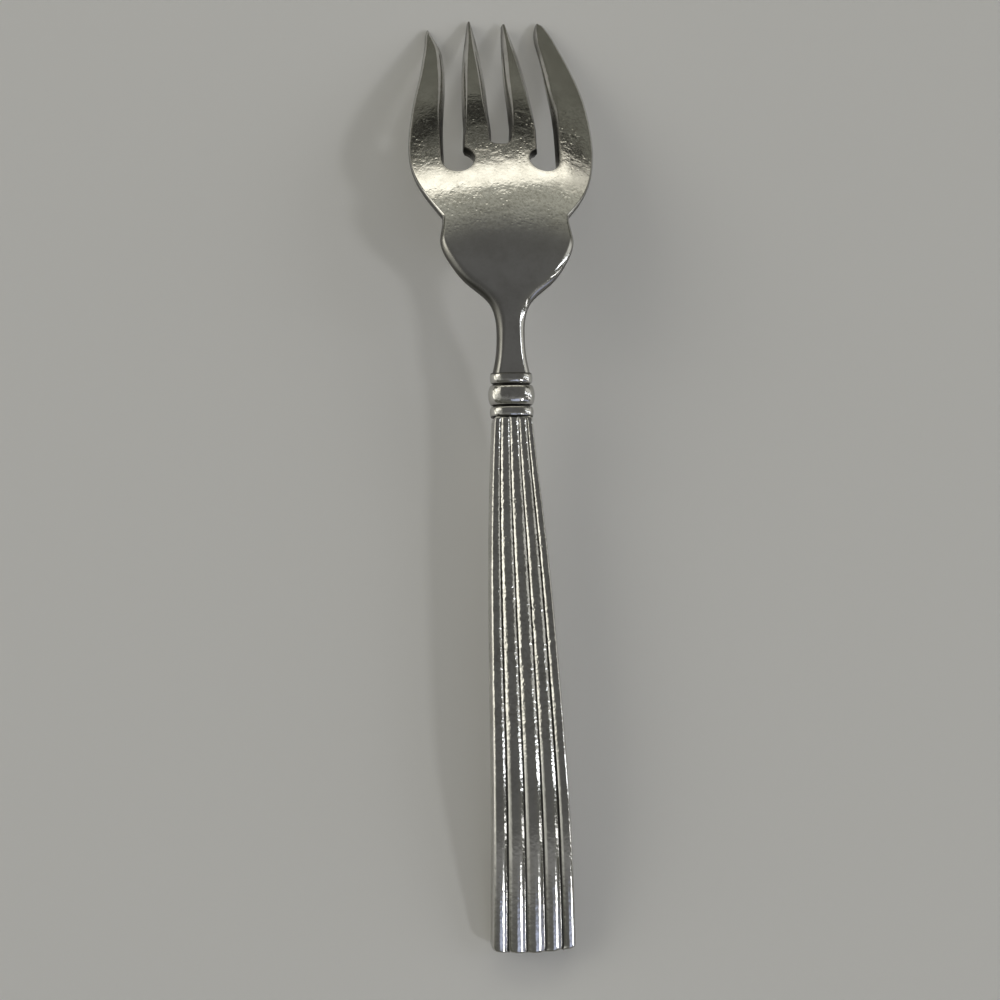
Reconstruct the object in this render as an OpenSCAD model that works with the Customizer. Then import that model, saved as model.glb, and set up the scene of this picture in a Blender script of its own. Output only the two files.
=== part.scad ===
// Salad fork with a hollow reeded handle, lying face down as on a table: the backs of its bowl and
// handle are up, and it rests on its tine tips and on the end of its handle.
// X runs across the fork, Y from the handle's end to the tine tips, and Z up from the table.
// Inside this file, places along the fork are counted from the joint of collar and handle, and
// "reach" is the distance of a place from the collar's front face.

/* [Side line] */
// Height of the handle's middle where it starts to bend down to its end
bend_height = 7.8; // [6:0.1:10]
// Distance of that bend from the handle's end
bend_setback = 20; // [14:0.5:26]
// Height of the handle's middle at the long bow
bow_height = 9.25; // [7.5:0.05:11]
// Distance of the bow behind the collar
bow_setback = 46; // [36:1:54]
// Height of the handle's middle at the grip near the collar
grip_height = 9.65; // [8:0.05:11]
// Distance of that grip place behind the collar
grip_setback = 22; // [16:1:28]
// Height of the middle of the joint between collar and handle
joint_height = 11.2; // [9.5:0.1:13]
// Height of the middle of the neck
neck_height = 15.3; // [13:0.1:17]
// Height of the middle of the metal at the crown of the bowl
crown_height = 18.3; // [16:0.05:20]
// Height of the middle of the metal where the tines begin
root_height = 14.8; // [12.5:0.1:16.5]
// Height of the middle of the metal halfway along the tines
tine_height = 8.7; // [7:0.1:10]
// Height of the middle of the metal at the tips
tip_height = 0.83; // [0.75:0.01:1.2]

/* [Head] */
// Length of the head, from the collar to the tips of the longest tines
head_length = 78.1; // [72:0.1:86]
// Reach of the slimmest place of the neck
neck_reach = 6; // [5:0.1:8]
// Reach of the widest place of the lower bowl
lobe_reach = 22.8; // [20:0.1:24.5]
// Reach of the notches at the sides of the bowl
notch_reach = 27.2; // [25.5:0.1:29]
// Reach of the widest place on the head's slim side, the one at -X
slim_reach = 42.4; // [39:0.1:46]
// Reach of the widest place on the head's broad side, the one at +X
broad_reach = 47.9; // [44:0.1:51]
// Width of the neck at the collar
neck_base_width = 6.4; // [5.4:0.1:7]
// Width of the neck at its slimmest
neck_width = 4.84; // [4:0.02:6]
// Width of the lower bowl
lobe_width = 23.12; // [20:0.02:26]
// Width of the bowl between the notches
notch_width = 22; // [18:0.1:24]
// Distance of the slim side from the middle, at its widest
slim_offset = 16.15; // [15:0.05:17.5]
// Distance of the broad side from the middle, at its widest
broad_offset = 17.35; // [16:0.05:18.5]
// Radius of the arched back across the lower bowl
lobe_arch = 70; // [50:1:150]
// Radius of the arched back across the tines
tine_arch = 55; // [45:1:120]
// Radius of the arched back across the tips
tip_arch = 85; // [70:1:200]
// Thickness of the neck at the collar
neck_base_thickness = 3.9; // [3:0.1:4.6]
// Thickness of the neck at its slimmest
neck_thickness = 3.4; // [2.6:0.1:4]
// Thickness of the bowl
bowl_thickness = 2.3; // [1.6:0.1:3]
// Width of the rounded edge along the neck
neck_edge = 1.4; // [0.8:0.05:1.9]
// Width of the rounded edge where the neck flares into the bowl
flare_edge = 2.4; // [1:0.1:3]
// Reach of that place
flare_reach = 13.2; // [11:0.1:15]
// Width of the rounded edge along the lower bowl
lobe_edge = 1.2; // [0.6:0.1:3]
// Width of the rounded edge along the shoulders of the head
shoulder_edge = 0.7; // [0.4:0.05:2.5]

/* [Tines] */
// Thickness of the metal where the tines begin
root_thickness = 2.1; // [1.5:0.1:2.8]
// Thickness of the tine tips
tip_thickness = 1.1; // [0.8:0.05:1.5]
// How far the slim outer tine stays behind the other three
slim_tip_setback = 1.8; // [0.6:0.1:4]
// Distance of the slim outer tine's tip from the middle
slim_tip_offset = 11; // [10.2:0.1:12]
// Distance of the broad outer tine's tip from the middle
broad_tip_offset = 10.5; // [9.8:0.1:11.5]
// Distance across the tips of the inner tines
inner_tip_span = 7.3; // [6.8:0.1:9]
// How far the inner tines stand over to the broad side
tine_sway = 0.4; // [0:0.05:0.8]
// How much shorter the inner tine next to the broad one is than its neighbour
short_tip = 0.8; // [0.1:0.1:2]
// Width of the outer tines at their tips
outer_tip_width = 0.3; // [0.1:0.05:0.6]
// How far the walls of the slots lean back over the thickness of the tines
tine_slant = 0.5; // [0.3:0.05:1]
// Width of the rounded edge along the outer tines
tine_edge = 0.6; // [0.4:0.05:1.4]
// Reach of the round bottoms of the outer slots
keyhole_reach = 39.2; // [36:0.1:41]
// Distance of those round bottoms from the middle of the fork
keyhole_offset = 7.55; // [6.8:0.05:8.4]
// Radius of the round bottom next to the slim tine
slim_keyhole = 2.55; // [2:0.05:3]
// Radius of the round bottom next to the broad tine
broad_keyhole = 2.35; // [2:0.05:3]
// Distance of the outer slots' inner walls from the middle, at their roots
slot_inner_root = 6.65; // [6:0.05:7.1]
// Distance of the slim tine's inner side from the middle, where it comes closest
slim_waist = 8.65; // [8:0.05:9.4]
// Distance of the broad tine's inner side from the middle, where it comes closest
broad_waist = 9.4; // [8.8:0.05:9.9]
// Reach of the bottom of the middle slot
middle_slot_reach = 42.9; // [40:0.1:47]
// Width of the middle slot at its bottom
middle_slot_root = 3; // [2:0.1:4]
// Width of the middle slot along the tines
middle_slot_waist = 3.5; // [3:0.1:4.4]
// Width of the middle slot at its mouth
middle_slot_mouth = 5.9; // [5:0.1:6.4]
// Radius of the corners at the bottom of the middle slot
middle_slot_corner = 0.8; // [0.3:0.05:0.95]

/* [Tang] */
// Length of the tang inside the handle
tang_length = 45; // [30:1:60]
// Width of the tang
tang_width = 3.2; // [2.4:0.1:3.6]
// Thickness of the tang
tang_thickness = 1.8; // [1.2:0.1:2.2]
// Width of the rounded edge of the tang
tang_edge = 0.5; // [0.2:0.05:0.8]
// Gap between the tang and what it passes through
tang_clearance = 0.15; // [0.05:0.05:0.3]

/* [Collar] */
// Length of the band next to the handle
low_band_length = 1.7; // [1:0.1:3]
// Width of the band next to the handle
low_band_width = 7.5; // [7:0.1:9]
// Length of the barrel between the bands
barrel_length = 3.3; // [2:0.1:5]
// Width of the barrel
barrel_width = 8; // [7.4:0.1:10]
// Length of the band next to the neck
top_band_length = 1.7; // [1:0.1:3]
// Width of the band next to the neck
top_band_width = 7.3; // [6.8:0.1:9]
// How much thinner the collar is than it is wide
collar_flatness = 1.8; // [0.6:0.1:2]
// How far the barrel falls in half width from its middle to its ends
barrel_drop = 0.4; // [0.1:0.05:0.6]
// How far each band falls in half width from its middle to its ends
band_drop = 0.2; // [0.05:0.05:0.4]
// Width of the grooves between the bands and the barrel
groove_width = 0.3; // [0.2:0.05:0.5]
// Depth of those grooves
groove_depth = 0.3; // [0.1:0.05:0.4]

/* [Handle] */
// Length of the handle, from its end to the collar
handle_length = 86.4; // [78:0.1:100]
// Width of the handle at the collar
handle_top_width = 6.7; // [6:0.1:7.2]
// Width of the handle at the grip place
handle_grip_width = 9.7; // [8:0.1:11]
// Width of the handle at the bow
handle_bow_width = 11.55; // [10:0.05:13]
// Width of the handle at its end
handle_end_width = 13.6; // [12:0.1:15]
// Thickness of the handle at the collar, over the reeds
handle_top_thickness = 5.1; // [4.6:0.1:6]
// Thickness of the handle at the bow, over the reeds
handle_bow_thickness = 4.9; // [4.4:0.1:6]
// Thickness of the handle at its end, over the reeds
handle_end_thickness = 4.3; // [3.8:0.1:5.4]
// Number of reeds on each face
reed_count = 5; // [3:2:9]
// Depth of the grooves between reeds, as a share of the width of a reed
reed_fullness = 0.22; // [0.12:0.01:0.26]
// How much lower the faces are at the sides than in the middle, as a share of the thickness
crown_fall = 0.1; // [0:0.01:0.2]
// How much closer the reeds stand where they go round the sides
reed_wrap = 0.13; // [0:0.01:0.2]
// Fullness of the sides, 2 for an ellipse and more for a squarer side
side_fullness = 2.6; // [2:0.1:3.5]
// Length of the rounded ends of the reeds at the collar
reed_round = 1; // [0.5:0.1:2]
// Radius of the corners at the handle's end
end_corner = 0.6; // [0.4:0.1:2]
// How far the middle of the handle's end stands out past its corners
end_arc = 0.5; // [0:0.1:1.2]
// Thickness of the shell under the grooves between reeds
shell_wall = 0.7; // [0.5:0.05:0.8]
// Thickness of the shell at its sides
side_wall = 1.2; // [0.8:0.1:1.4]
// Thickness of the closed end of the handle
end_wall = 1.6; // [1:0.1:3]
// Width of the rounded edge of the hollow
hollow_edge = 1; // [0.5:0.1:1.4]
// Gap between the shells and the filler
filler_clearance = 0.05; // [0.02:0.01:0.1]

/* [Hidden] */

steel = "silver";
bright_steel = "gainsboro";
cement = "darkgray";

// Steps along the long curves and round an edge
edge_steps = 5;
across_steps = 5;
bowl_steps = 20;
shoulder_steps = 10;
tine_steps = 14;
nose_steps = 4;
tang_steps = 10;
handle_steps = 20;
hollow_steps = 14;
round_steps = 4;
reed_steps = 6;
band_steps = 6;
slot_steps = 12;
corner_steps = 4;

// A cutter runs this far past what it cuts
past = 1;

collar_length = low_band_length + barrel_length + top_band_length + 2 * groove_width;
tip_place = collar_length + head_length;
slim_tip_place = tip_place - slim_tip_setback;
root_place = collar_length + middle_slot_reach;

// Natural cubic spline through points [place, value]: its second derivatives, then its value and slope
function sweep(p, i, c, d) =
    i == len(p) - 1 ? [c, d] :
    let (before = p[i][0] - p[i - 1][0],
         after = p[i + 1][0] - p[i][0],
         turn = (p[i + 1][1] - p[i][1]) / after - (p[i][1] - p[i - 1][1]) / before,
         pivot = 2 * (before + after) - before * c[i - 1])
    sweep(p, i + 1, concat(c, after / pivot), concat(d, (6 * turn - before * d[i - 1]) / pivot));
function unwind(c, d, i, m) =
    i == 0 ? concat(0, m) : unwind(c, d, i - 1, concat(d[i] - c[i] * m[0], m));
function curve(p) =
    let (swept = sweep(p, 1, [0], [0]))
    [p, unwind(swept[0], swept[1], len(p) - 2, [0])];
function span_of(p, y, i = 0) = i == len(p) - 2 || y < p[i + 1][0] ? i : span_of(p, y, i + 1);
function at(curve, y) =
    let (p = curve[0], m = curve[1], i = span_of(p, y),
         h = p[i + 1][0] - p[i][0], b = (y - p[i][0]) / h, a = 1 - b)
    a * p[i][1] + b * p[i + 1][1] + ((a^3 - a) * m[i] + (b^3 - b) * m[i + 1]) * h^2 / 6;
function slope(curve, y) =
    let (p = curve[0], m = curve[1], i = span_of(p, y),
         h = p[i + 1][0] - p[i][0], b = (y - p[i][0]) / h, a = 1 - b)
    (p[i + 1][1] - p[i][1]) / h + ((3 * b^2 - 1) * m[i + 1] - (3 * a^2 - 1) * m[i]) * h / 6;

// Points of a curve that runs from one point to another, given as shares of the way
function between(from, to, shares) =
    [for (s = shares) [from[0] + (to[0] - from[0]) * s[0], from[1] + (to[1] - from[1]) * s[1]]];
// Evenly spaced places, both ends included, and the same with its ends lengthened
function places(from, to, steps) = [for (i = [0 : steps]) from + (to - from) * i / steps];
function run(from, to, steps, back, front) =
    places(from, to, steps) + [for (i = [0 : steps]) i == 0 ? -back : i == steps ? front : 0];
// Quarter circle that falls from 1 to 0 as s goes from 0 to 1
function fall(s) = sqrt(max(0, 1 - max(0, s)^2));

// Side view: the middle of the metal, from the handle's end over the crown of the bowl to the tips
side_line = curve([
    [-handle_length, handle_end_thickness / 2],
    [-handle_length + bend_setback, bend_height],
    [-bow_setback, bow_height],
    [-grip_setback, grip_height],
    [0, joint_height],
    [collar_length + neck_reach, neck_height],
    [collar_length + lobe_reach, crown_height],
    [root_place, root_height],
    [(root_place + tip_place) / 2, tine_height],
    [tip_place, tip_height],
]);

// The bowl is arched across too, from nothing at the neck, so its sides lie lower than its middle
arch_line = curve([
    [collar_length, 0],
    [collar_length + neck_reach, 0],
    [collar_length + lobe_reach, 1 / lobe_arch],
    [root_place, 1 / tine_arch],
    [(root_place + tip_place) / 2, 1 / tine_arch],
    [tip_place, 1 / tip_arch],
]);
function arch(y) = y > collar_length ? at(arch_line, y) : 0;
function arch_slope(y) = y > collar_length ? slope(arch_line, y) : 0;
function arched(x, y) = at(side_line, y) - arch(y) * x^2 / 2;

// The tines twist a little on their way, which brings both outer tips to one height
function tine_share(y) = max(0, (y - root_place) / (tip_place - root_place));
tip_twist = (arched(slim_tip_offset, slim_tip_place) - arched(broad_tip_offset, tip_place))
    / (slim_tip_offset * tine_share(slim_tip_place)^2 + broad_tip_offset);
function twist(y) = tip_twist * tine_share(y)^2;
function twist_slope(y) = 2 * tip_twist * tine_share(y) / (tip_place - root_place);

// A point n above the middle of the metal at x across and y along the fork, square to the metal
function on_line(x, y, n) =
    let (across = twist(y) - arch(y) * x,
         along = slope(side_line, y) + twist_slope(y) * x - arch_slope(y) * x^2 / 2,
         square = n / sqrt(1 + across^2 + along^2))
    [x - square * across, y - square * along, arched(x, y) + twist(y) * x + square];

// Upper half of a flat bar's cross-section with rounded edges, as [x, height]
function bar(left, right, edge, half_thickness, spans = 1) =
    let (flat = left + right - 2 * edge)
    concat(
        [for (a = places(0, 90, edge_steps)) [edge * (1 - cos(a)) - left, half_thickness * sin(a)]],
        [for (i = [1 : 1 : spans - 1]) [edge - left + flat * i / spans, half_thickness]],
        [for (a = places(90, 0, edge_steps)) [right - edge * (1 - cos(a)), half_thickness * sin(a)]]);
function upper(y, section) = [for (p = section) on_line(p[0], y, p[1])];
function lower(y, section) = [for (p = section) on_line(p[0], y, -p[1])];
function middle(y, section) = [for (p = section) on_line(p[0], y, 0)];

// Solid between an upper and a lower skin, given as rows of points, that meet along both sides
module skins(top, bottom) {
    rows = len(top);
    cols = len(top[0]);
    function up(i, j) = i * cols + j;
    function down(i, j) = j == 0 || j == cols - 1 ? up(i, j) : rows * cols + i * cols + j;
    function whole(faces) = [for (f = faces) if (f[0] != f[1] && f[1] != f[2] && f[2] != f[0]) f];
    function patch(a, b, c, d) = [[a, b, c], [a, c, d]];
    polyhedron(
        points = concat([for (row = top) each row], [for (row = bottom) each row]),
        faces = whole([
            for (i = [0 : rows - 2], j = [0 : cols - 2]) each concat(
                patch(up(i, j), up(i + 1, j), up(i + 1, j + 1), up(i, j + 1)),
                patch(down(i, j), down(i, j + 1), down(i + 1, j + 1), down(i + 1, j))),
            for (j = [0 : cols - 2]) each concat(
                patch(up(0, j), up(0, j + 1), down(0, j + 1), down(0, j)),
                patch(up(rows - 1, j + 1), up(rows - 1, j), down(rows - 1, j), down(rows - 1, j + 1))),
        ]));
}

// Plan of the head: the sides of neck and lower bowl, then those of shoulders and outer tines.
// One outer tine is slim, and the other is broad and fuller outside, for cutting
neck_slim = [collar_length + neck_reach, neck_width / 2];
lobe_wide = [collar_length + lobe_reach, lobe_width / 2];
notch = [collar_length + notch_reach, notch_width / 2];
slim_wide = [collar_length + slim_reach, slim_offset];
broad_wide = [collar_length + broad_reach, broad_offset];
slim_tip = [slim_tip_place, slim_tip_offset];
broad_tip = [tip_place, broad_tip_offset];
flare_shape = [[0.21, 0.04], [0.345, 0.17], [0.506, 0.51], [0.714, 0.81]];
lower_side = curve(concat(
    [[collar_length, neck_base_width / 2]],
    between([collar_length, neck_base_width / 2], neck_slim, [[0.33, 0.58]]),
    [neck_slim],
    between(neck_slim, lobe_wide, flare_shape),
    [lobe_wide],
    between(lobe_wide, notch, [[0.68, 0.86]]),
    [notch]));
function upper_side(wide, tip, shoulder_shape, tine_shape) = curve(concat(
    [notch],
    between(notch, wide, shoulder_shape),
    [wide],
    between(wide, tip, tine_shape),
    [tip]));
slim_side = upper_side(slim_wide, slim_tip,
    [[0.22, 0.383], [0.553, 0.825]],
    [[0.22, 0.126], [0.4, 0.32], [0.6, 0.592], [0.725, 0.724], [0.855, 0.845], [0.965, 0.935]]);
broad_side = upper_side(broad_wide, broad_tip,
    [[0.17, 0.393], [0.43, 0.767], [0.72, 0.951]],
    [[0.31, 0.078], [0.575, 0.315], [0.765, 0.533], [0.91, 0.73], [0.955, 0.81], [0.985, 0.9]]);
inner_tip_side = inner_tip_span / 2;
function slim_half(y) =
    y <= notch[0] ? at(lower_side, y) :
    y <= slim_tip_place ? at(slim_side, y) :
    slim_tip[1] + (inner_tip_side - tine_sway - slim_tip[1]) * (y - slim_tip_place) / slim_tip_setback;
function broad_half(y) = y <= notch[0] ? at(lower_side, y) : at(broad_side, y);

// Thickness of the head and the width of its rounded edge, along the fork
thickness_line = curve([
    [collar_length, neck_base_thickness],
    neck_slim - [0, neck_width / 2 - neck_thickness],
    [lobe_wide[0], bowl_thickness],
    [root_place, root_thickness],
    [tip_place, tip_thickness],
]);
edge_line = curve([
    [collar_length, neck_edge],
    [neck_slim[0], neck_edge],
    [collar_length + flare_reach, flare_edge],
    [lobe_wide[0], lobe_edge],
    [slim_wide[0], shoulder_edge],
    [tip_place, tine_edge],
]);
nose = tip_thickness / 2;
blunt_share = 0.3;
function head_section(y) =
    let (round = fall((y - tip_place + nose) / nose))
    bar(slim_half(y), broad_half(y), at(edge_line, y), at(thickness_line, y) / 2 * max(round, blunt_share),
        across_steps);
function tang_section(grow, spans = 1) =
    let (half = tang_width / 2 + grow)
    bar(half, half, tang_edge + grow, tang_thickness / 2 + grow, spans);

head_places = concat(
    places(collar_length, notch[0], bowl_steps),
    [for (i = [1 : shoulder_steps]) notch[0] + (slim_wide[0] - notch[0]) * i / shoulder_steps],
    [for (i = [1 : tine_steps]) slim_wide[0] + (slim_tip_place - slim_wide[0]) * i / tine_steps],
    [for (i = [1 : nose_steps]) slim_tip_place + slim_tip_setback * i / nose_steps]);

// The tang from its end to the collar's front face, grown and lengthened where it is a cutter
function tang_places(back, front) = run(-tang_length, collar_length, tang_steps, back, front);
module tang(grow, front) {
    stations = tang_places(grow, front);
    skins([for (y = stations) upper(y, tang_section(grow))],
          [for (y = stations) lower(y, tang_section(grow))]);
}

// The slots between the tines, as plan outlines from their bottoms to past the tips
slot_end = tip_place + past;
slot_start = collar_length + keyhole_reach;
inner_root = [slot_start, slot_inner_root];
inner_wall = curve(concat(
    [inner_root],
    between(inner_root, [tip_place, inner_tip_side],
            [[0.2, 0], [0.475, 0.125], [0.7, 0.4], [0.86, 0.71], [1, 1]])));
function outer_wall(radius, waist, tip, shape) =
    let (root = [slot_start, keyhole_offset + radius])
    curve(concat([root], between(root, [tip[0], waist], shape), [tip - [0, outer_tip_width]]));
slim_wall = outer_wall(slim_keyhole, slim_waist, slim_tip,
    [[0.15, 0.07], [0.29, 0.28], [0.43, 0.63], [0.58, 0.92], [0.735, 1], [0.835, 0.79], [0.915, 0.24]]);
broad_wall = outer_wall(broad_keyhole, broad_waist, broad_tip,
    [[0.07, -0.3], [0.14, -0.6], [0.35, -1.1], [0.5, -0.6], [0.645, -0.2], [0.795, 0.6], [0.88, 1],
     [0.94, 0.6]]);
middle_wall = curve(concat(
    [[root_place, middle_slot_root / 2], [(3 * root_place + tip_place) / 4, middle_slot_waist / 2]],
    between([(root_place + tip_place) / 2, middle_slot_waist / 2], [tip_place, middle_slot_mouth / 2],
            [[0, 0.02], [0.42, 0.32], [0.8, 0.71], [1, 1]])));
// The inner tines, with their walls, stand over to one side from the roots on
sway_length = root_place - slot_start + 2 * slim_keyhole;
function sway(y) =
    let (s = min(1, max(0, (y - slot_start) / sway_length)))
    tine_sway * s^2 * (3 - 2 * s);
slot_height = crown_height + bowl_thickness + 2 * past;
module punched() translate([0, 0, -past]) linear_extrude(slot_height) children();

// The walls of the slots stand square at the roots. Further out they lean back, so that a tine is
// narrower on the back of the fork than on its front
slant_line = curve([
    [slot_start, 0],
    [root_place, 0.1 * tine_slant],
    [root_place + 0.17 * (tip_place - root_place), 0.55 * tine_slant],
    [root_place + 0.34 * (tip_place - root_place), 0.95 * tine_slant],
    [root_place + 0.62 * (tip_place - root_place), tine_slant],
    [root_place + 0.85 * (tip_place - root_place), 0.5 * tine_slant],
    [tip_place, 0.15 * tine_slant],
]);
foot_share = 0.7;
// How far a wall has leaned back at a height over the middle of the metal
function lean(y, height) =
    let (thick = at(thickness_line, min(y, tip_place)) / 2)
    at(slant_line, min(y, tip_place)) * (height / thick + foot_share) / (1 + foot_share);

// Ring of four points at y, from one wall of a slot to the other
function slot_ring(y, left, right) = [
    for (corner = [[-1, 1], [-1, -1], [1, -1], [1, 1]])
        let (height = corner[1] * (bowl_thickness / 2 + past),
             back = max(lean(y, height), (left - right) / 3))
        on_line(corner[0] < 0 ? left - back : right + back, y, height)];
module slot(rings) {
    last = 4 * (len(rings) - 1);
    polyhedron(
        points = [for (ring = rings) each ring],
        faces = concat(
            [[3, 2, 1, 0], [last, last + 1, last + 2, last + 3]],
            [for (i = [0 : len(rings) - 2], j = [0 : 3])
                let (a = 4 * i + j, b = 4 * i + (j + 1) % 4)
                each [[a, b + 4, a + 4], [a, b, b + 4]]]));
}

module outer_slot(side) {
    wall = side < 0 ? slim_wall : broad_wall;
    radius = side < 0 ? slim_keyhole : broad_keyhole;
    punched() translate([side * keyhole_offset, slot_start]) circle(radius, $fn = 48);
    slot([for (y = places(slot_start, slot_end, slot_steps))
        let (inner = side * at(inner_wall, y) + sway(y),
             outer = side * at(wall, y))
        slot_ring(y, min(inner, outer), max(inner, outer))]);
}
module middle_slot() {
    corner_in = middle_slot_root / 2 - middle_slot_corner;
    corner = [for (a = places(0, 90, corner_steps))
        [corner_in + middle_slot_corner * sin(a), root_place + middle_slot_corner * (1 - cos(a))]];
    straight = places(root_place + middle_slot_corner, slot_end, slot_steps);
    half = concat(corner, [for (i = [1 : slot_steps]) [at(middle_wall, straight[i]), straight[i]]]);
    slot([for (p = half) slot_ring(p[1], sway(p[1]) - p[0], sway(p[1]) + p[0])]);
}
// Room past the tip of the shorter inner tine
module tip_room()
    punched()
        translate([tine_sway, tip_place - short_tip])
            square([broad_waist - tine_sway, short_tip + past]);

// Collar: two bands and a barrel of rounded profile, with a narrow groove on each side of the barrel
function band_rows(start, length, width, drop) = [for (a = places(-90, 90, band_steps))
    [start + length * (1 + sin(a)) / 2, width / 2 - drop * (1 - cos(a))]];
barrel_start = low_band_length + groove_width;
top_band_start = barrel_start + barrel_length + groove_width;
groove_half = min(low_band_width, top_band_width) / 2 - band_drop - groove_depth;
collar_rows = concat(
    band_rows(0, low_band_length, low_band_width, band_drop),
    [[low_band_length + groove_width / 2, groove_half]],
    band_rows(barrel_start, barrel_length, barrel_width, barrel_drop),
    [[top_band_start - groove_width / 2, groove_half]],
    band_rows(top_band_start, top_band_length, top_band_width, band_drop));
collar_edge_share = 0.8;
function collar_section(half) = bar(half, half, half * collar_edge_share, half - collar_flatness / 2);

// Handle: half width and half thickness along it, and the upper half of its reeded cross-section
handle_side = curve([
    [-handle_length, handle_end_width / 2],
    [-bow_setback, handle_bow_width / 2],
    [-grip_setback, handle_grip_width / 2],
    [0, handle_top_width / 2],
]);
handle_depth = curve([
    [-handle_length, handle_end_thickness / 2],
    [-bow_setback, handle_bow_thickness / 2],
    [0, handle_top_thickness / 2],
]);
function reed_width(y) = 2 * at(handle_side, y) / reed_count;
function groove_of(y) = reed_fullness * reed_width(y);
reed_angle = 60;
function reed_arc(u) = (sqrt(1 - (2 * u * sin(reed_angle))^2) - cos(reed_angle)) / (1 - cos(reed_angle));
function wrapped(t) = t * (1 + reed_wrap * (1 - t^2));
function flank(s) = (1 - min(1, abs(s))^side_fullness)^(1 / side_fullness);
function reeded(y) =
    let (corner = fall((-y - handle_length + end_corner) / end_corner),
         dome = fall((y + reed_round) / reed_round),
         half = at(handle_side, y) - end_corner * (1 - corner) - groove_of(y) * (1 - dome),
         depth = at(handle_depth, y) - groove_of(y) * (1 - dome),
         crest = depth * (1 - crown_fall * wrapped(1 - 1 / reed_count)^2),
         groove = groove_of(y) * dome)
    concat(
        [for (k = [0 : reed_count - 1], a = places(-90, 90, reed_steps)) if (k == 0 || a > -90)
            let (u = sin(a) / 2,
                 share = wrapped(2 * (k + 0.5 + u) / reed_count - 1),
                 face = depth * (1 - crown_fall * share^2),
                 side = (k == 0 && a < 0) || (k == reed_count - 1 && a > 0))
            [half * share, side ? crest * flank(2 * u) : face - groove * (1 - reed_arc(u))]]);
// The end of the handle is a shallow arc, so its rows swing back towards the sides
function end_swing(x, y) =
    let (s = max(0, 1 - (y + handle_length) / bend_setback))
    end_arc * s^2 * (1 - (2 * x / handle_end_width)^2);
function swung(row, section, y) =
    [for (i = [0 : len(row) - 1]) row[i] - [0, end_swing(section[i][0], y), 0]];
handle_places = concat(
    [for (a = places(0, 90, round_steps)) -handle_length + end_corner * (1 - cos(a))],
    [for (i = [1 : handle_steps])
        -handle_length + end_corner + (handle_length - end_corner - reed_round) * i / handle_steps],
    [for (a = places(0, 90, round_steps)) if (a > 0) -reed_round + reed_round * sin(a)]);
handle_sections = [for (y = handle_places) reeded(y)];
handle_rows = [0 : len(handle_places) - 1];
back_skin = [for (i = handle_rows)
    swung(upper(handle_places[i], handle_sections[i]), handle_sections[i], handle_places[i])];
parting_skin = [for (i = handle_rows)
    swung(middle(handle_places[i], handle_sections[i]), handle_sections[i], handle_places[i])];
front_skin = [for (i = handle_rows)
    swung(lower(handle_places[i], handle_sections[i]), handle_sections[i], handle_places[i])];

// The hollow of the handle, shrunk where it is the filler
function hollow_section(y, shrink) =
    let (half = at(handle_side, y) - side_wall - shrink)
    bar(half, half, hollow_edge, at(handle_depth, y) - groove_of(y) - shell_wall - shrink);
module hollow(shrink, front) {
    stations = run(-handle_length + end_wall, 0, hollow_steps, -shrink, front);
    skins([for (y = stations) upper(y, hollow_section(y, shrink))],
          [for (y = stations) lower(y, hollow_section(y, shrink))]);
}

// Rows of the head, with the tang behind its shoulder
head_tang_places = tang_places(0, 0);
head_upper = concat(
    [for (y = head_tang_places) upper(y, tang_section(0, across_steps))],
    [for (y = head_places) upper(y, head_section(y))]);
head_lower = concat(
    [for (y = head_tang_places) lower(y, tang_section(0, across_steps))],
    [for (y = head_places) lower(y, head_section(y))]);

// The origin is on the table, under the middle of the fork's length and width
head_points = [for (row = concat(head_upper, head_lower)) each row];
lowest = min([for (row = concat(head_lower, front_skin)) for (p = row) p[2]]);
foremost = max([for (p = head_points) p[1]]);
rearmost = min([for (row = back_skin) for (p = row) p[1]]);
leftmost = min([for (p = head_points) p[0]]);
rightmost = max([for (p = head_points) p[0]]);
module placed()
    translate([-(leftmost + rightmost) / 2, -(foremost + rearmost) / 2, -lowest]) children();

// Bowl, four tines, neck and tang, forged in one
module fork_head() color(bright_steel) placed() difference() {
    skins(head_upper, head_lower);
    middle_slot();
    for (side = [-1, 1]) outer_slot(side);
    tip_room();
}

// Ringed collar that the tang passes through, between neck and handle
module collar() color(steel) placed() difference() {
    skins([for (row = collar_rows) upper(row[0], collar_section(row[1]))],
          [for (row = collar_rows) lower(row[0], collar_section(row[1]))]);
    tang(tang_clearance, past);
}

// The two stamped halves of the handle, which meet along its middle
module handle_back_shell() color(steel) placed() difference() {
    skins(back_skin, parting_skin);
    hollow(0, past);
}
module handle_front_shell() color(steel) placed() difference() {
    skins(parting_skin, front_skin);
    hollow(0, past);
}

// Cement that holds the tang inside the handle
module handle_filler() color(cement) placed() difference() {
    hollow(filler_clearance, 0);
    tang(tang_clearance, past);
}

fork_head();
collar();
handle_back_shell();
handle_front_shell();
handle_filler();
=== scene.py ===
# %% [markdown]
# A salad fork lies face down on a pale table, so the backs of its bowl and of its reeded handle are up.
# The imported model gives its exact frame. Its faces are coarse, though, and polished steel shows every
# facet, so this lesson makes each piece that can be seen again, as a fine mesh around the same lines.

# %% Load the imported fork
import math

import bpy
import numpy as np
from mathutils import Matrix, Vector
from mathutils.geometry import delaunay_2d_cdt


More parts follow.
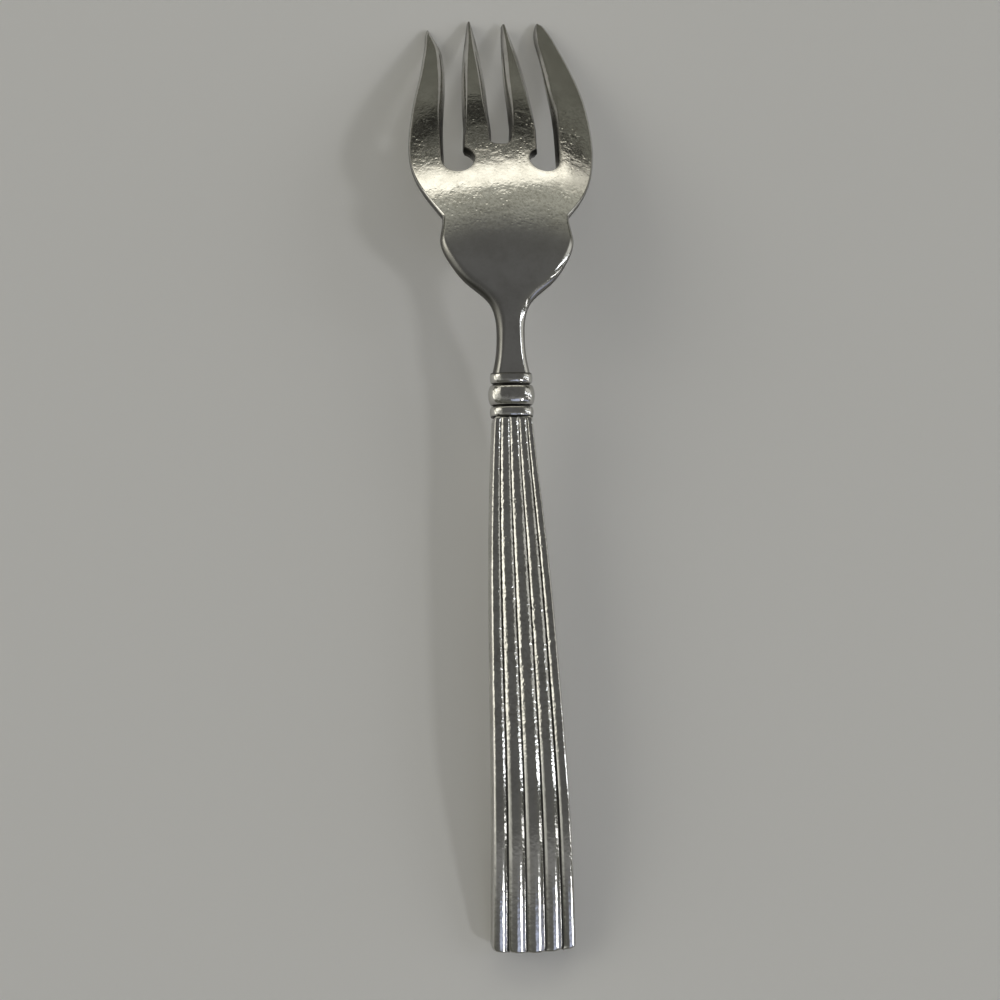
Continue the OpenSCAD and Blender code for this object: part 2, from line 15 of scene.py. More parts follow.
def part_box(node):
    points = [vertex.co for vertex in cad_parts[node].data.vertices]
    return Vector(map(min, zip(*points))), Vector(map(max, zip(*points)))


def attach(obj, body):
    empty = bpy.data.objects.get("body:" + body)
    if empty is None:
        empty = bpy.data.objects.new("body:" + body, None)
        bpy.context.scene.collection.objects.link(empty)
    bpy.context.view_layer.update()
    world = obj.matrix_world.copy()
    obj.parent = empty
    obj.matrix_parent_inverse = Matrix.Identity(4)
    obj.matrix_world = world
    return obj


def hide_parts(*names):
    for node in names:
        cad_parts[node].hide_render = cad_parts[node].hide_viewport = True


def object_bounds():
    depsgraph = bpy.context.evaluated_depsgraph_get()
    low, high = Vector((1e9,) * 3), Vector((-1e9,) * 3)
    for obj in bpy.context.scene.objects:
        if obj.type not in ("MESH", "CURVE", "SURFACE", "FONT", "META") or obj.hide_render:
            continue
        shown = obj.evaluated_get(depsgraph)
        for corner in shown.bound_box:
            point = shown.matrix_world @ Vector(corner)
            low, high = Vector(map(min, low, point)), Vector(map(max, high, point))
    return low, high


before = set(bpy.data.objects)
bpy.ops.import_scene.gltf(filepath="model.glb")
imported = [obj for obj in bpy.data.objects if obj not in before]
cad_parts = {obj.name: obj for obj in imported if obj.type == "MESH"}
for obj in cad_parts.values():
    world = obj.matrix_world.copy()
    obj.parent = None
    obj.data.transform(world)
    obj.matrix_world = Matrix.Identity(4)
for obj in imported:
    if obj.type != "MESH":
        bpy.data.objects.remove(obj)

cad_box = [list(corner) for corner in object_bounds()]
size_mm = [1000 * (high - low) for low, high in zip(*cad_box)]
print("packed fork, mm:", [round(side, 2) for side in size_mm])

# %% [markdown]
# Every line of a fork is a soft curve: its side view, the outline of its bowl, the taper of its handle.
# Blender's curve objects could draw them, but a mesh builder also needs the slope and the bend at any
# place. A natural cubic spline gives all three from a few points, so it is the one tool for them all.

# %% Soft curves through a few points
def smooth_line(points):
    """A soft curve through [place, value] points that gives value, slope and bend at any place."""
    places, values = np.array(points, float).T
    gap = np.diff(places)
    rise = np.diff(values) / gap
    count = len(places)
    system = np.eye(count)
    turn = np.zeros(count)
    for i in range(1, count - 1):
        system[i, i - 1:i + 2] = gap[i - 1], 2 * (gap[i - 1] + gap[i]), gap[i]
        turn[i] = 6 * (rise[i] - rise[i - 1])
    bends = np.linalg.solve(system, turn)

    def read(place):
        i = np.clip(np.searchsorted(places, place) - 1, 0, count - 2)
        b = (place - places[i]) / gap[i]
        a = 1 - b
        swell = ((a ** 3 - a) * bends[i] + (b ** 3 - b) * bends[i + 1]) * gap[i] ** 2 / 6
        tilt = ((3 * b ** 2 - 1) * bends[i + 1] - (3 * a ** 2 - 1) * bends[i]) * gap[i] / 6
        return a * values[i] + b * values[i + 1] + swell, rise[i] + tilt, a * bends[i] + b * bends[i + 1]

    return read


def between(start, end, shares):
    """Points on the way from one point to another, given as shares of the way."""
    start = np.array(start)
    return [list(start + (np.array(end) - start) * share) for share in shares]


# %% [markdown]
# Seen from the side, the fork arches twice: the handle bows up from its end, dips near the collar, and
# the bowl rises to a crown before the tines run down to the table. One curve through the middle of the
# metal carries the whole fork. Lengths are in millimetres, counted from the joint of collar and handle.

# %% Side view of the fork
HANDLE_LENGTH = 86.4
COLLAR_LENGTH = 7.3
HEAD_LENGTH = 78.1
TIP = COLLAR_LENGTH + HEAD_LENGTH
NECK = COLLAR_LENGTH + 6.0
LOBE = COLLAR_LENGTH + 22.8
ROOT = COLLAR_LENGTH + 42.9
HALFWAY = (ROOT + TIP) / 2

side_line = smooth_line([
    [-HANDLE_LENGTH, 2.15],
    [-66.4, 7.8],
    [-46.0, 9.25],
    [-22.0, 9.65],
    [0.0, 11.2],
    [NECK, 15.3],
    [LOBE, 18.3],
    [ROOT, 14.8],
    [HALFWAY, 8.7],
    [TIP, 0.83],
])
for name, place in (("joint", 0.0), ("crown", LOBE), ("tips", TIP)):
    print(f"{name}: {float(side_line(place)[0]):.2f} mm over the table")

# %% [markdown]
# The bowl's back is arched across as well, from nothing at the neck to a radius of some 55 mm over the
# tines. On polished steel this matters as much as the outline: it is what bends the reflections. The
# tines also twist by a hair, which brings the tips of both outer tines down to the table.

# %% Arched and twisted back
SLIM_TIP = TIP - 1.8
SLIM_TIP_OFFSET = 11.0
BROAD_TIP_OFFSET = 10.5
arch_line = smooth_line([[COLLAR_LENGTH, 0.0], [NECK, 0.0], [LOBE, 1 / 70], [ROOT, 1 / 55],
                         [HALFWAY, 1 / 55], [TIP, 1 / 85]])


def arch(y):
    """Curvature of the back across the fork, and how it changes along it."""
    value, slope, _ = arch_line(np.maximum(y, COLLAR_LENGTH))
    on_head = y > COLLAR_LENGTH
    return np.where(on_head, value, 0.0), np.where(on_head, slope, 0.0)


def tine_share(y):
    """How far along the tines a place is, from 0 at their roots to 1 at their tips."""
    return np.maximum(0.0, (y - ROOT) / (TIP - ROOT))


def arched(x, y):
    """Height of the middle of the metal before the twist."""
    return side_line(y)[0] - arch(y)[0] * x ** 2 / 2


tip_twist = (arched(SLIM_TIP_OFFSET, SLIM_TIP) - arched(BROAD_TIP_OFFSET, TIP)) / (
    SLIM_TIP_OFFSET * tine_share(SLIM_TIP) ** 2 + BROAD_TIP_OFFSET)


def middle(x, y):
    """Height of the middle of the metal, and its slopes across and along the fork."""
    x, y = np.broadcast_arrays(np.asarray(x, float), np.asarray(y, float))
    curved, curved_slope = arch(y)
    twist = tip_twist * tine_share(y) ** 2
    twist_slope = 2 * tip_twist * tine_share(y) / (TIP - ROOT)
    height = arched(x, y) + twist * x
    return height, twist - curved * x, side_line(y)[1] + twist_slope * x - curved_slope * x ** 2 / 2


def square_to(x, y):
    """Unit direction square to the middle of the metal."""
    _, across, along = middle(x, y)
    way = np.stack([-across, -along, np.ones_like(across)], axis=-1)
    return way / np.linalg.norm(way, axis=-1, keepdims=True)


def on_line(x, y, lift):
    """Points at x across and y along the fork, lifted square off the middle of the metal."""
    height, _, _ = middle(x, y)
    flat = np.stack(np.broadcast_arrays(x, y, height), axis=-1)
    return flat + np.asarray(lift)[..., None] * square_to(x, y)


print(f"twist at the tips: {math.degrees(math.atan(tip_twist)):.1f} degrees")

# %% [markdown]
# The collar is a short ferrule of two bands and a fat barrel, with a thin groove on each side of the
# barrel. A lathe shape would be round, but this one is flattened, so it is lofted: rings of a flattened
# outline along the side line, outside first and then back through the hole for neck and tang.

# %% Collar profile
BAND_LENGTH = 1.7
BARREL_LENGTH = 3.3
GROOVE_WIDTH = 0.3
GROOVE_HALF = 3.15
LOW_BAND_WIDTH = 7.5
BARREL_WIDTH = 8.0
TOP_BAND_WIDTH = 7.3
BAND_DROP = 0.28
BARREL_DROP = 0.6
COLLAR_FLATNESS = 0.9
COLLAR_FULLNESS = 2.3
SOCKET_DEPTH = 1.5
SOCKET_HALF = (3.2, 1.95)
BORE_HALF = (1.75, 1.05)
RING_STEPS = 96


def bead(start, length, width, drop, steps=20):
    """Places and half widths over a rounded band that falls by drop to its ends."""
    turn = np.radians(np.linspace(-90, 90, steps + 1))
    places = start + length * (1 + np.sin(turn)) / 2
    return np.stack([places, width / 2 - drop * (1 - np.cos(turn))], axis=1)


barrel_start = BAND_LENGTH + GROOVE_WIDTH
top_band_start = barrel_start + BARREL_LENGTH + GROOVE_WIDTH
groove_floor = GROOVE_WIDTH * np.array([0.25, 0.75])
collar_profile = np.concatenate([
    bead(0, BAND_LENGTH, LOW_BAND_WIDTH, BAND_DROP),
    np.stack([BAND_LENGTH + groove_floor, np.full(2, GROOVE_HALF)], axis=1),
    bead(barrel_start, BARREL_LENGTH, BARREL_WIDTH, BARREL_DROP),
    np.stack([top_band_start - GROOVE_WIDTH + groove_floor, np.full(2, GROOVE_HALF)], axis=1),
    bead(top_band_start, BAND_LENGTH, TOP_BAND_WIDTH, BAND_DROP),
])
print("collar profile:", len(collar_profile), "rings over", COLLAR_LENGTH, "mm")

# %% Collar rings
around = np.linspace(0, 2 * np.pi, RING_STEPS, endpoint=False)


def full_oval(half_width, half_thickness, fullness=COLLAR_FULLNESS):
    """A flattened ring, squarer than an ellipse as fullness goes over 2."""
    x = np.sign(np.cos(around)) * np.abs(np.cos(around)) ** (2 / fullness)
    lift = np.sign(np.sin(around)) * np.abs(np.sin(around)) ** (2 / fullness)
    return half_width * x, half_thickness * lift


socket = [(COLLAR_LENGTH, SOCKET_HALF), (COLLAR_LENGTH - SOCKET_DEPTH, SOCKET_HALF),
          (COLLAR_LENGTH - SOCKET_DEPTH, BORE_HALF), (0.0, BORE_HALF)]
outside = [(place, (half, half - COLLAR_FLATNESS)) for place, half in collar_profile]
collar_rings = []
for place, (half_width, half_thickness) in outside + socket:
    x, lift = full_oval(half_width, half_thickness)
    collar_rings.append(on_line(x, place, lift))
collar_rings = np.array(collar_rings)
print("collar:", len(collar_rings), "rings of", RING_STEPS, "points")

# %% [markdown]
# All pieces share one offset: from the joint, where they are measured, to the frame's origin on the
# table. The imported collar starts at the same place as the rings, so the two boxes give that offset.

# %% Offset from the joint to the frame
MM = 0.001
collar_low = np.array(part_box("collar")[0]) / MM
offset = collar_low - collar_rings.reshape(-1, 3).min(axis=0)
print("joint in the frame, mm:", offset.round(3))


def new_piece(name, points, faces, node):
    """A mesh object in the frame, from points in millimetres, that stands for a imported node."""
    mesh = bpy.data.meshes.new(name)
    mesh.from_pydata(((np.asarray(points) + offset) * MM).tolist(), [], np.asarray(faces).tolist())
    mesh.polygons.foreach_set("use_smooth", [True] * len(mesh.polygons))
    mesh.validate()
    piece = bpy.data.objects.new(name, mesh)
    bpy.context.scene.collection.objects.link(piece)
    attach(piece, "root")
    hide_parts(node)
    low, high = (np.array(corner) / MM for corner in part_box(node))
    corners = (np.asarray(points) + offset).reshape(-1, 3)
    print(f"{name}: {len(points)} points; box differs from its node by",
          (corners.min(axis=0) - low).round(2), (corners.max(axis=0) - high).round(2), "mm")
    return piece


def grid_faces(rows, columns, wrap_rows=False, wrap_columns=False):
    """Four-sided faces over a grid of points, joined back to its start where it wraps."""
    row = np.arange(rows if wrap_rows else rows - 1)[:, None]
    column = np.arange(columns if wrap_columns else columns - 1)[None]
    below = row * columns
    above = (row + 1) % rows * columns
    beside = (column + 1) % columns
    return np.stack(np.broadcast_arrays(below + column, below + beside, above + beside, above + column),
                    axis=-1).reshape(-1, 4)


# %% Make the collar
COLLAR_CREASE = 50
collar = new_piece("collar_ferrule", collar_rings.reshape(-1, 3),
                   grid_faces(len(collar_rings), RING_STEPS, True, True)[:, ::-1], "collar")
collar.data.set_sharp_from_angle(angle=math.radians(COLLAR_CREASE))

# %% [markdown]
# The head is one forging: tang, neck, bowl and four tines. From above it is an outline with slots, and
# its height is the arched back from before. A subdivided box would blur the slots, so it is cut from its
# plan instead: outline points, rows of points for the rounded rim, a grid inside, and Blender's
# constrained triangulation over them all. Neck and lower bowl are the same on both sides, but one outer
# tine is slim and the other is broad and fuller outside, for cutting, so each side has its own lines.

# %% Outline of neck, bowl and outer tines
NOTCH = COLLAR_LENGTH + 27.2
neck_base = [COLLAR_LENGTH, 3.2]
neck_slim = [NECK, 2.42]
lobe_wide = [LOBE, 11.56]
notch = [NOTCH, 11.0]
slim_wide = [COLLAR_LENGTH + 42.4, 16.15]
broad_wide = [COLLAR_LENGTH + 47.9, 17.35]
slim_tip = [SLIM_TIP, SLIM_TIP_OFFSET]
broad_tip = [TIP, BROAD_TIP_OFFSET]

lower_side = smooth_line(
    [neck_base] + between(neck_base, neck_slim, [[0.33, 0.58]]) + [neck_slim]
    + between(neck_slim, lobe_wide, [[0.21, 0.04], [0.345, 0.17], [0.506, 0.51], [0.714, 0.81]])
    + [lobe_wide] + between(lobe_wide, notch, [[0.68, 0.86]]) + [notch])


def upper_side(wide, tip, shoulder_shape, tine_shape):
    """Side of shoulder and outer tine, from the notch over the widest place to the tip."""
    shoulder = [notch] + between(notch, wide, shoulder_shape)
    return smooth_line(shoulder + [wide] + between(wide, tip, tine_shape) + [tip])


slim_side = upper_side(
    slim_wide, slim_tip, [[0.22, 0.383], [0.553, 0.825]],
    [[0.22, 0.126], [0.4, 0.32], [0.6, 0.592], [0.725, 0.724], [0.855, 0.845], [0.965, 0.935]])
broad_side = upper_side(
    broad_wide, broad_tip, [[0.17, 0.393], [0.43, 0.767], [0.72, 0.951]],
    [[0.31, 0.078], [0.575, 0.315], [0.765, 0.533], [0.91, 0.73], [0.955, 0.81], [0.985, 0.9]])
print(f"bowl: {2 * lobe_wide[1]:.2f} mm wide; tines: {slim_wide[1] + broad_wide[1]:.2f} mm wide")

# %% Lines made of points
EDGE_STEP = 0.22
FINE_STEPS = 400


def along(line, start, end):
    """Plan points [x, y] along a line of distances from the middle."""
    y = np.linspace(start, end, FINE_STEPS)
    return np.stack([line(y)[0], y], axis=1)


def even(points, step=EDGE_STEP):
    """The same line with its points evenly spaced."""
    points = np.asarray(points, float)
    reach = np.concatenate([[0], np.cumsum(np.linalg.norm(np.diff(points, axis=0), axis=1))])
    wanted = np.linspace(0, reach[-1], max(2, math.ceil(reach[-1] / step) + 1))
    return np.stack([np.interp(wanted, reach, values) for values in points.T], axis=1)


def joined(*stretches):
    """One line from several that meet end to end."""
    return np.concatenate([stretches[0]] + [stretch[1:] for stretch in stretches[1:]])


# %% Outer edges
TANG_LENGTH = 45.0
TANG_HALF = 1.6
TANG_STEP = 0.5
SOCKET_GAP = 0.1
NECK_START = COLLAR_LENGTH - SOCKET_DEPTH + SOCKET_GAP
tang_outline = even([[0, -TANG_LENGTH], [TANG_HALF, -TANG_LENGTH], [TANG_HALF, NECK_START],
                     [neck_base[1], NECK_START], [neck_base[1], COLLAR_LENGTH]], TANG_STEP)
lower_outline = even(along(lower_side, COLLAR_LENGTH, NOTCH))
slim_edge = joined(tang_outline, lower_outline, even(along(slim_side, NOTCH, SLIM_TIP)))
broad_edge = joined(tang_outline, lower_outline, even(along(broad_side, NOTCH, TIP)))
for name, line in (("slim", slim_edge), ("broad", broad_edge)):
    print(f"{name} side: {len(line)} points, {line[:, 0].max():.2f} mm from the middle at its widest")

# %% [markdown]
# Three slots part the tines. The outer two end in round keyholes that reach under the inner tines; the
# middle one has a square bottom with rounded corners. The inner tines stand over a little to the broad
# side, and each tine ends in a small round tip.

# %% Walls of the slots
KEYHOLE = COLLAR_LENGTH + 39.2
KEYHOLE_OFFSET = 7.55
SLIM_KEYHOLE = 2.55
BROAD_KEYHOLE = 2.35
INNER_ROOT = 6.65
INNER_TIP_SIDE = 3.65
SLIM_WAIST = 8.65
BROAD_WAIST = 9.4
OUTER_TIP_WIDTH = 0.3
MIDDLE_ROOT = 1.5
MIDDLE_WAIST = 1.75
MIDDLE_MOUTH = 2.95
TINE_SWAY = 0.4
SWAY_START = KEYHOLE + 2.4
SWAY_LENGTH = ROOT - SWAY_START + 2 * SLIM_KEYHOLE
inner_root = [KEYHOLE, INNER_ROOT]


def outer_wall(radius, waist, tip, shape):
    """Inner side of an outer tine, from its round bottom to its tip."""
    root = [KEYHOLE, KEYHOLE_OFFSET + radius]
    end = [tip[0], tip[1] - OUTER_TIP_WIDTH]
    return smooth_line([root] + between(root, [tip[0], waist], shape) + [end])


slim_wall = outer_wall(
    SLIM_KEYHOLE, SLIM_WAIST, slim_tip,
    [[0.15, 0.07], [0.29, 0.28], [0.43, 0.63], [0.58, 0.92], [0.735, 1], [0.835, 0.79], [0.915, 0.24]])
broad_wall = outer_wall(
    BROAD_KEYHOLE, BROAD_WAIST, broad_tip,
    [[0.07, -0.3], [0.14, -0.6], [0.35, -1.1], [0.5, -0.6], [0.645, -0.2], [0.795, 0.6], [0.88, 1],
     [0.94, 0.6]])
inner_wall = smooth_line([inner_root] + between(
    inner_root, [TIP, INNER_TIP_SIDE], [[0.2, 0], [0.475, 0.125], [0.7, 0.4], [0.86, 0.71], [1, 1]]))
middle_wall = smooth_line(
    [[ROOT, MIDDLE_ROOT], [(3 * ROOT + TIP) / 4, MIDDLE_WAIST]]
    + between([HALFWAY, MIDDLE_WAIST], [TIP, MIDDLE_MOUTH], [[0, 0.02], [0.42, 0.32], [0.8, 0.71], [1, 1]]))


def sway(y):
    """How far the inner tines stand over to the broad side."""
    share = np.clip((y - SWAY_START) / SWAY_LENGTH, 0, 1)
    return TINE_SWAY * share ** 2 * (3 - 2 * share)


print("keyholes:", 2 * SLIM_KEYHOLE, "and", 2 * BROAD_KEYHOLE, "mm; middle slot:", 2 * MIDDLE_ROOT, "mm")

# %% Edges of the slots
CORNER = 0.8
INNER_BLUNT = 0.45
OUTER_BLUNT = 0.12
SHORT_TIP = 0.8
KEYHOLE_STEPS = 200
CORNER_STEPS = 10
TIP_STEPS = 16


def keyhole_edge(radius):
    """Round bottom of an outer slot, from its outer wall round to the inner tine."""
    hook = math.acos((INNER_ROOT - KEYHOLE_OFFSET) / radius)
    turn = np.linspace(0, hook - 2 * math.pi, KEYHOLE_STEPS)
    return np.stack([KEYHOLE_OFFSET + radius * np.cos(turn), KEYHOLE + radius * np.sin(turn)], axis=1)


corner_turn = np.linspace(0, math.pi / 2, CORNER_STEPS)
corner = np.stack([MIDDLE_ROOT - CORNER + CORNER * np.cos(corner_turn),
                   ROOT + CORNER - CORNER * np.sin(corner_turn)], axis=1)


def round_tip(outside, inside, bulge):
    """A half round from a tine's outer side over its tip to its inner side."""
    turn = np.linspace(0, math.pi, TIP_STEPS)
    centre = (np.array(outside) + np.array(inside)) / 2
    half = (np.array(outside) - np.array(inside)) / 2
    return centre + np.cos(turn)[:, None] * half + np.sin(turn)[:, None] * np.array([0, bulge])


def swayed(line, side):
    """A line of the inner tines, moved over with them."""
    return line + np.stack([side * sway(line[:, 1]), np.zeros(len(line))], axis=1)


def slot_edge(side, wall, tip, radius, inner_end):
    """From an outer tip down its slot, round the keyhole, over the inner tine to the middle slot."""
    keyhole = keyhole_edge(radius)
    inner_start = inner_end - INNER_BLUNT
    tip_outside = [inner_wall(inner_start)[0], inner_start]
    tip_inside = [middle_wall(inner_start)[0], inner_start]
    inner_tip = round_tip(tip_outside, tip_inside, INNER_BLUNT)
    inner_side = swayed(along(inner_wall, keyhole[-1, 1], inner_start), side)
    inner_side[0] = keyhole[-1]
    middle_side = along(middle_wall, inner_start, ROOT + CORNER)
    middle_side[-1] = corner[0]
    return joined(
        even(round_tip([tip[1], tip[0]], [wall(tip[0])[0], tip[0]], OUTER_BLUNT)),
        even(along(wall, tip[0], KEYHOLE)),
        even(keyhole),
        even(inner_side),
        even(swayed(inner_tip, side), EDGE_STEP / 2),
        even(swayed(middle_side, side)),
        even(swayed(corner, side)),
        even(swayed(np.array([corner[-1], [0, ROOT]]), side)))


slim_slots = slot_edge(-1, slim_wall, slim_tip, SLIM_KEYHOLE, TIP)
broad_slots = slot_edge(1, broad_wall, broad_tip, BROAD_KEYHOLE, TIP - SHORT_TIP)
print("slot edges:", len(slim_slots) + len(broad_slots), "points")

# %% [markdown]
# The metal is thickest at the neck and thins to the tips. Its outer edge is broadly rounded where the
# neck flares into the bowl and tight along the shoulders. The walls of the slots lean back along the
# tines, so that a tine is narrower on the fork's back, with a foot at the wide side. So the thickness at
# a point depends on how far it lies from each of the two edges. The same distances give exact normals,
# which keep the reflections on the polished steel free of ripples.

# %% Thickness and rounded rims
TANG_THICKNESS = 1.8
NECK_THICKNESS = 3.9
TANG_TO_NECK = (-0.5, 0.7)
TANG_ROUNDING = 0.5
OUTER_FULLNESS = 2.2
SLOT_FULLNESS = 1.25
EASED = 0.3
FLARE = COLLAR_LENGTH + 13.2
thickness_line = smooth_line([[COLLAR_LENGTH, NECK_THICKNESS], [NECK, 3.4], [LOBE, 2.3], [ROOT, 2.1],
                              [TIP, 1.1]])
rounding_line = smooth_line([[COLLAR_LENGTH, 1.4], [NECK, 1.4], [FLARE, 2.4], [LOBE, 1.2],
                             [slim_wide[0], 0.7], [TIP, 0.6]])
bevel_line = smooth_line([[KEYHOLE, 0.35], [ROOT, 0.4], [56.0, 0.75], [62.0, 1.1], [70.0, 1.2],
                          [76.0, 1.05], [80.0, 0.8], [83.0, 0.48], [TIP, 0.25]])
foot_line = smooth_line([[KEYHOLE, 0.0], [ROOT, 0.05], [56.0, 0.4], [62.0, 0.66], [72.0, 0.7],
                         [80.0, 0.6], [TIP, 0.4]])


def thickness(y):
    """Thickness of head and tang, and its slope."""
    value, slope, _ = thickness_line(y)
    inside = y < COLLAR_LENGTH
    tang = np.interp(y, NECK_START + np.array(TANG_TO_NECK), [TANG_THICKNESS, NECK_THICKNESS])
    return np.where(inside, tang, value), np.where(inside, 0, slope)


def rounding(y):
    """Width of the rounded outer rim, and its slope."""
    value, slope, _ = rounding_line(np.maximum(y, COLLAR_LENGTH))
    on_neck = y > COLLAR_LENGTH
    return np.where(y < NECK_START, TANG_ROUNDING, value), np.where(on_neck, slope, 0)


def bevel(y):
    """Width of the bevel along the slots, and its slope."""
    value, slope, _ = bevel_line(np.clip(y, KEYHOLE, TIP))
    return value, np.where(y > KEYHOLE, slope, 0)


def foot_share(y):
    """How far below the middle of the metal a slot's edge lies, as a share of half the thickness."""
    value, slope, _ = foot_line(np.clip(y, KEYHOLE, TIP))
    return value, np.where(y > KEYHOLE, slope, 0)


def rounded(share, fullness):
    """Height over a rounded rim, from 0 at the edge to 1, and how fast it climbs."""
    left = 1 - np.clip(share, 1e-6, 1)
    height = (1 - left ** fullness) ** (1 / fullness)
    return height, left ** (fullness - 1) * height ** (1 - fullness)


for name, place in (("neck", NECK), ("crown", LOBE), ("tips", TIP)):
    print(f"{name}: {float(thickness(place)[0]):.2f} mm thick")

# %% Distances from the edges
BATCH = 200
TOUCHING = 1e-6
LEAST = 1e-9
flip = np.array([-1, 1])
outer_lines = [broad_edge, (slim_edge * flip)[::-1]]
slot_lines = [joined(broad_slots, (slim_slots * flip)[::-1])]


def inward(line):
    """Directions square to a line, into the metal."""
    step = np.gradient(line, axis=0)
    return np.stack([-step[:, 1], step[:, 0]], axis=1) / np.linalg.norm(step, axis=1)[:, None]


def from_edge(points, lines):
    """Distance of plan points from lines, below 0 outside the metal, and the direction away from them."""
    start = np.concatenate([line[:-1] for line in lines])
    step = np.concatenate([np.diff(line, axis=0) for line in lines])
    into = np.stack([-step[:, 1], step[:, 0]], axis=1) / np.linalg.norm(step, axis=1)[:, None]
    distances = []
    directions = []
    for batch in np.array_split(points, max(1, len(points) // BATCH)):
        reach = batch[:, None] - start
        share = np.clip((reach * step).sum(axis=2) / (step ** 2).sum(axis=1), 0, 1)
        gap = reach - share[..., None] * step
        nearest = (gap ** 2).sum(axis=2).argmin(axis=1)
        gap = gap[np.arange(len(batch)), nearest]
        distance = np.linalg.norm(gap, axis=1)
        side = np.where((gap * into[nearest]).sum(axis=1) < -LEAST, -1.0, 1.0)
        away = gap / np.maximum(distance, LEAST)[:, None]
        directions.append(np.where(distance[:, None] < TOUCHING, into[nearest], away))
        distances.append(distance * side)
    return np.concatenate(distances), np.concatenate(directions)


print("edge lines:", sum(len(line) for line in outer_lines), "outer and", len(slot_lines[0]), "slot points")

# %% Points inside the outline
GRID_STEP = 0.5
RIM_SHARES = (0.05, 0.14, 0.28, 0.48, 0.74, 0.93, 1.03)
EDGE_ROOM = 0.06
RIM_SLACK = 0.97
GRID_ROOM = 0.2
GRID_REACH = 17
CLOSEST = 0.012
candidates = []
targets = []
for share in RIM_SHARES:
    for lines, width_at, place in ((outer_lines, rounding, 0), (slot_lines, bevel, 1)):
        for line in lines:
            depth = share * width_at(line[:, 1])[0]
            candidates.append(line + inward(line) * depth[:, None])
            target = np.full((len(line), 2), EDGE_ROOM)
            target[:, place] = depth * RIM_SLACK
            targets.append(target)
grid_x, grid_y = np.meshgrid(np.arange(-GRID_REACH, GRID_REACH + 1, GRID_STEP),
                             np.arange(-TANG_LENGTH, TIP, GRID_STEP))
grid = np.stack([grid_x.ravel(), grid_y.ravel()], axis=1)
candidates.append(grid)
targets.append(np.stack([rounding(grid[:, 1])[0], bevel(grid[:, 1])[0]], axis=1) + GRID_ROOM)
candidates = np.concatenate(candidates)
targets = np.concatenate(targets)

outer_gap, _ = from_edge(candidates, outer_lines)
slot_gap, _ = from_edge(candidates, slot_lines)
inside_points = candidates[(outer_gap >= targets[:, 0]) & (slot_gap >= targets[:, 1])]
_, unique = np.unique((inside_points / CLOSEST).round(), axis=0, return_index=True)
inside_points = inside_points[np.sort(unique)]
print("points inside:", len(inside_points))

# %% Triangulate the plan
INSIDE_ONLY = 1
TOLERANCE = 1e-7
loop = joined(outer_lines[0], slot_lines[0], outer_lines[1])[:-1]
edges = [(i, (i + 1) % len(loop)) for i in range(len(loop))]
plan_points = [Vector(point) for point in np.concatenate([loop, inside_points])]
found = delaunay_2d_cdt(plan_points, edges, [], INSIDE_ONLY, TOLERANCE)
used, plan_faces = np.unique(np.array(found[2]), return_inverse=True)
plan_faces = plan_faces.reshape(-1, 3)
plan = np.array([list(point) for point in found[0]])[used]
rim = np.array([min(source) < len(loop) for source in found[3]])[used]
print("head plan:", len(plan), "points,", len(plan_faces), "triangles")

# %% Lift of the two faces of the head
outer_gap, outer_way = from_edge(plan, outer_lines)
slot_gap, slot_way = from_edge(plan, slot_lines)
x, y = plan.T
thick, thick_slope = thickness(y)
foot, foot_slope = foot_share(y)


def over_rim(gap, way, width, width_slope, fullness):
    """Height over a rim, from 0 at its edge to 1, and its slopes across and along the fork."""
    height, climb = rounded(gap / width, fullness)
    slopes = (climb / width)[:, None] * way
    slopes[:, 1] -= climb / width * np.clip(gap / width, 0, 1) * width_slope
    return height, slopes


def face(side):
    """Lift of the upper (1) or lower (-1) face off the middle of the metal, and its slopes."""
    outer, outer_slopes = over_rim(outer_gap, outer_way, *rounding(y), OUTER_FULLNESS)
    slot_width = bevel(y) if side > 0 else (np.full(len(y), EASED), 0)
    slot, slot_slopes = over_rim(slot_gap, slot_way, *slot_width, SLOT_FULLNESS)
    fall = 1 + side * foot
    share = 1 - fall * (1 - slot)
    share_slopes = fall[:, None] * slot_slopes
    share_slopes[:, 1] -= side * foot_slope * (1 - slot)
    lift = side * thick / 2 * outer * share
    slopes = (side * thick / 2)[:, None] * (outer_slopes * share[:, None] + outer[:, None] * share_slopes)
    slopes[:, 1] += lift / thick * thick_slope
    return lift, slopes


upper_lift, upper_slopes = face(1)
lower_lift, lower_slopes = face(-1)
print(f"faces: up to {upper_lift.max():.2f} mm over and {-lower_lift.min():.2f} mm under the middle")

# %% Normals of the two faces
STEP = 1e-3


def face_normals(side, lift, slopes):
    """Normals of the upper (1) or lower (-1) face of the head."""
    ways = square_to(x, y)
    tangents = []
    for axis, (step_x, step_y) in enumerate(((STEP, 0.0), (0.0, STEP))):
        here = on_line(x - step_x, y - step_y, lift)
        there = on_line(x + step_x, y + step_y, lift)
        tangents.append((there - here) / (2 * STEP) + slopes[:, axis, None] * ways)
    normals = side * np.cross(*tangents)
    return normals / np.linalg.norm(normals, axis=1)[:, None]


# %% Make the head
under = np.flatnonzero(~rim)
under_of = np.arange(len(plan))
under_of[under] = len(plan) + np.arange(len(under))
head_points = np.concatenate([on_line(x, y, upper_lift), on_line(x[under], y[under], lower_lift[under])])
head_faces = np.concatenate([plan_faces, under_of[plan_faces][:, ::-1]])
head = new_piece("fork_head_forging", head_points, head_faces, "fork_head")
upper_normals = face_normals(1, upper_lift, upper_slopes)[plan_faces]
lower_normals = face_normals(-1, lower_lift, lower_slopes)[plan_faces[:, ::-1]]
head.data.normals_split_custom_set(np.concatenate([upper_normals, lower_normals]).reshape(-1, 3).tolist())

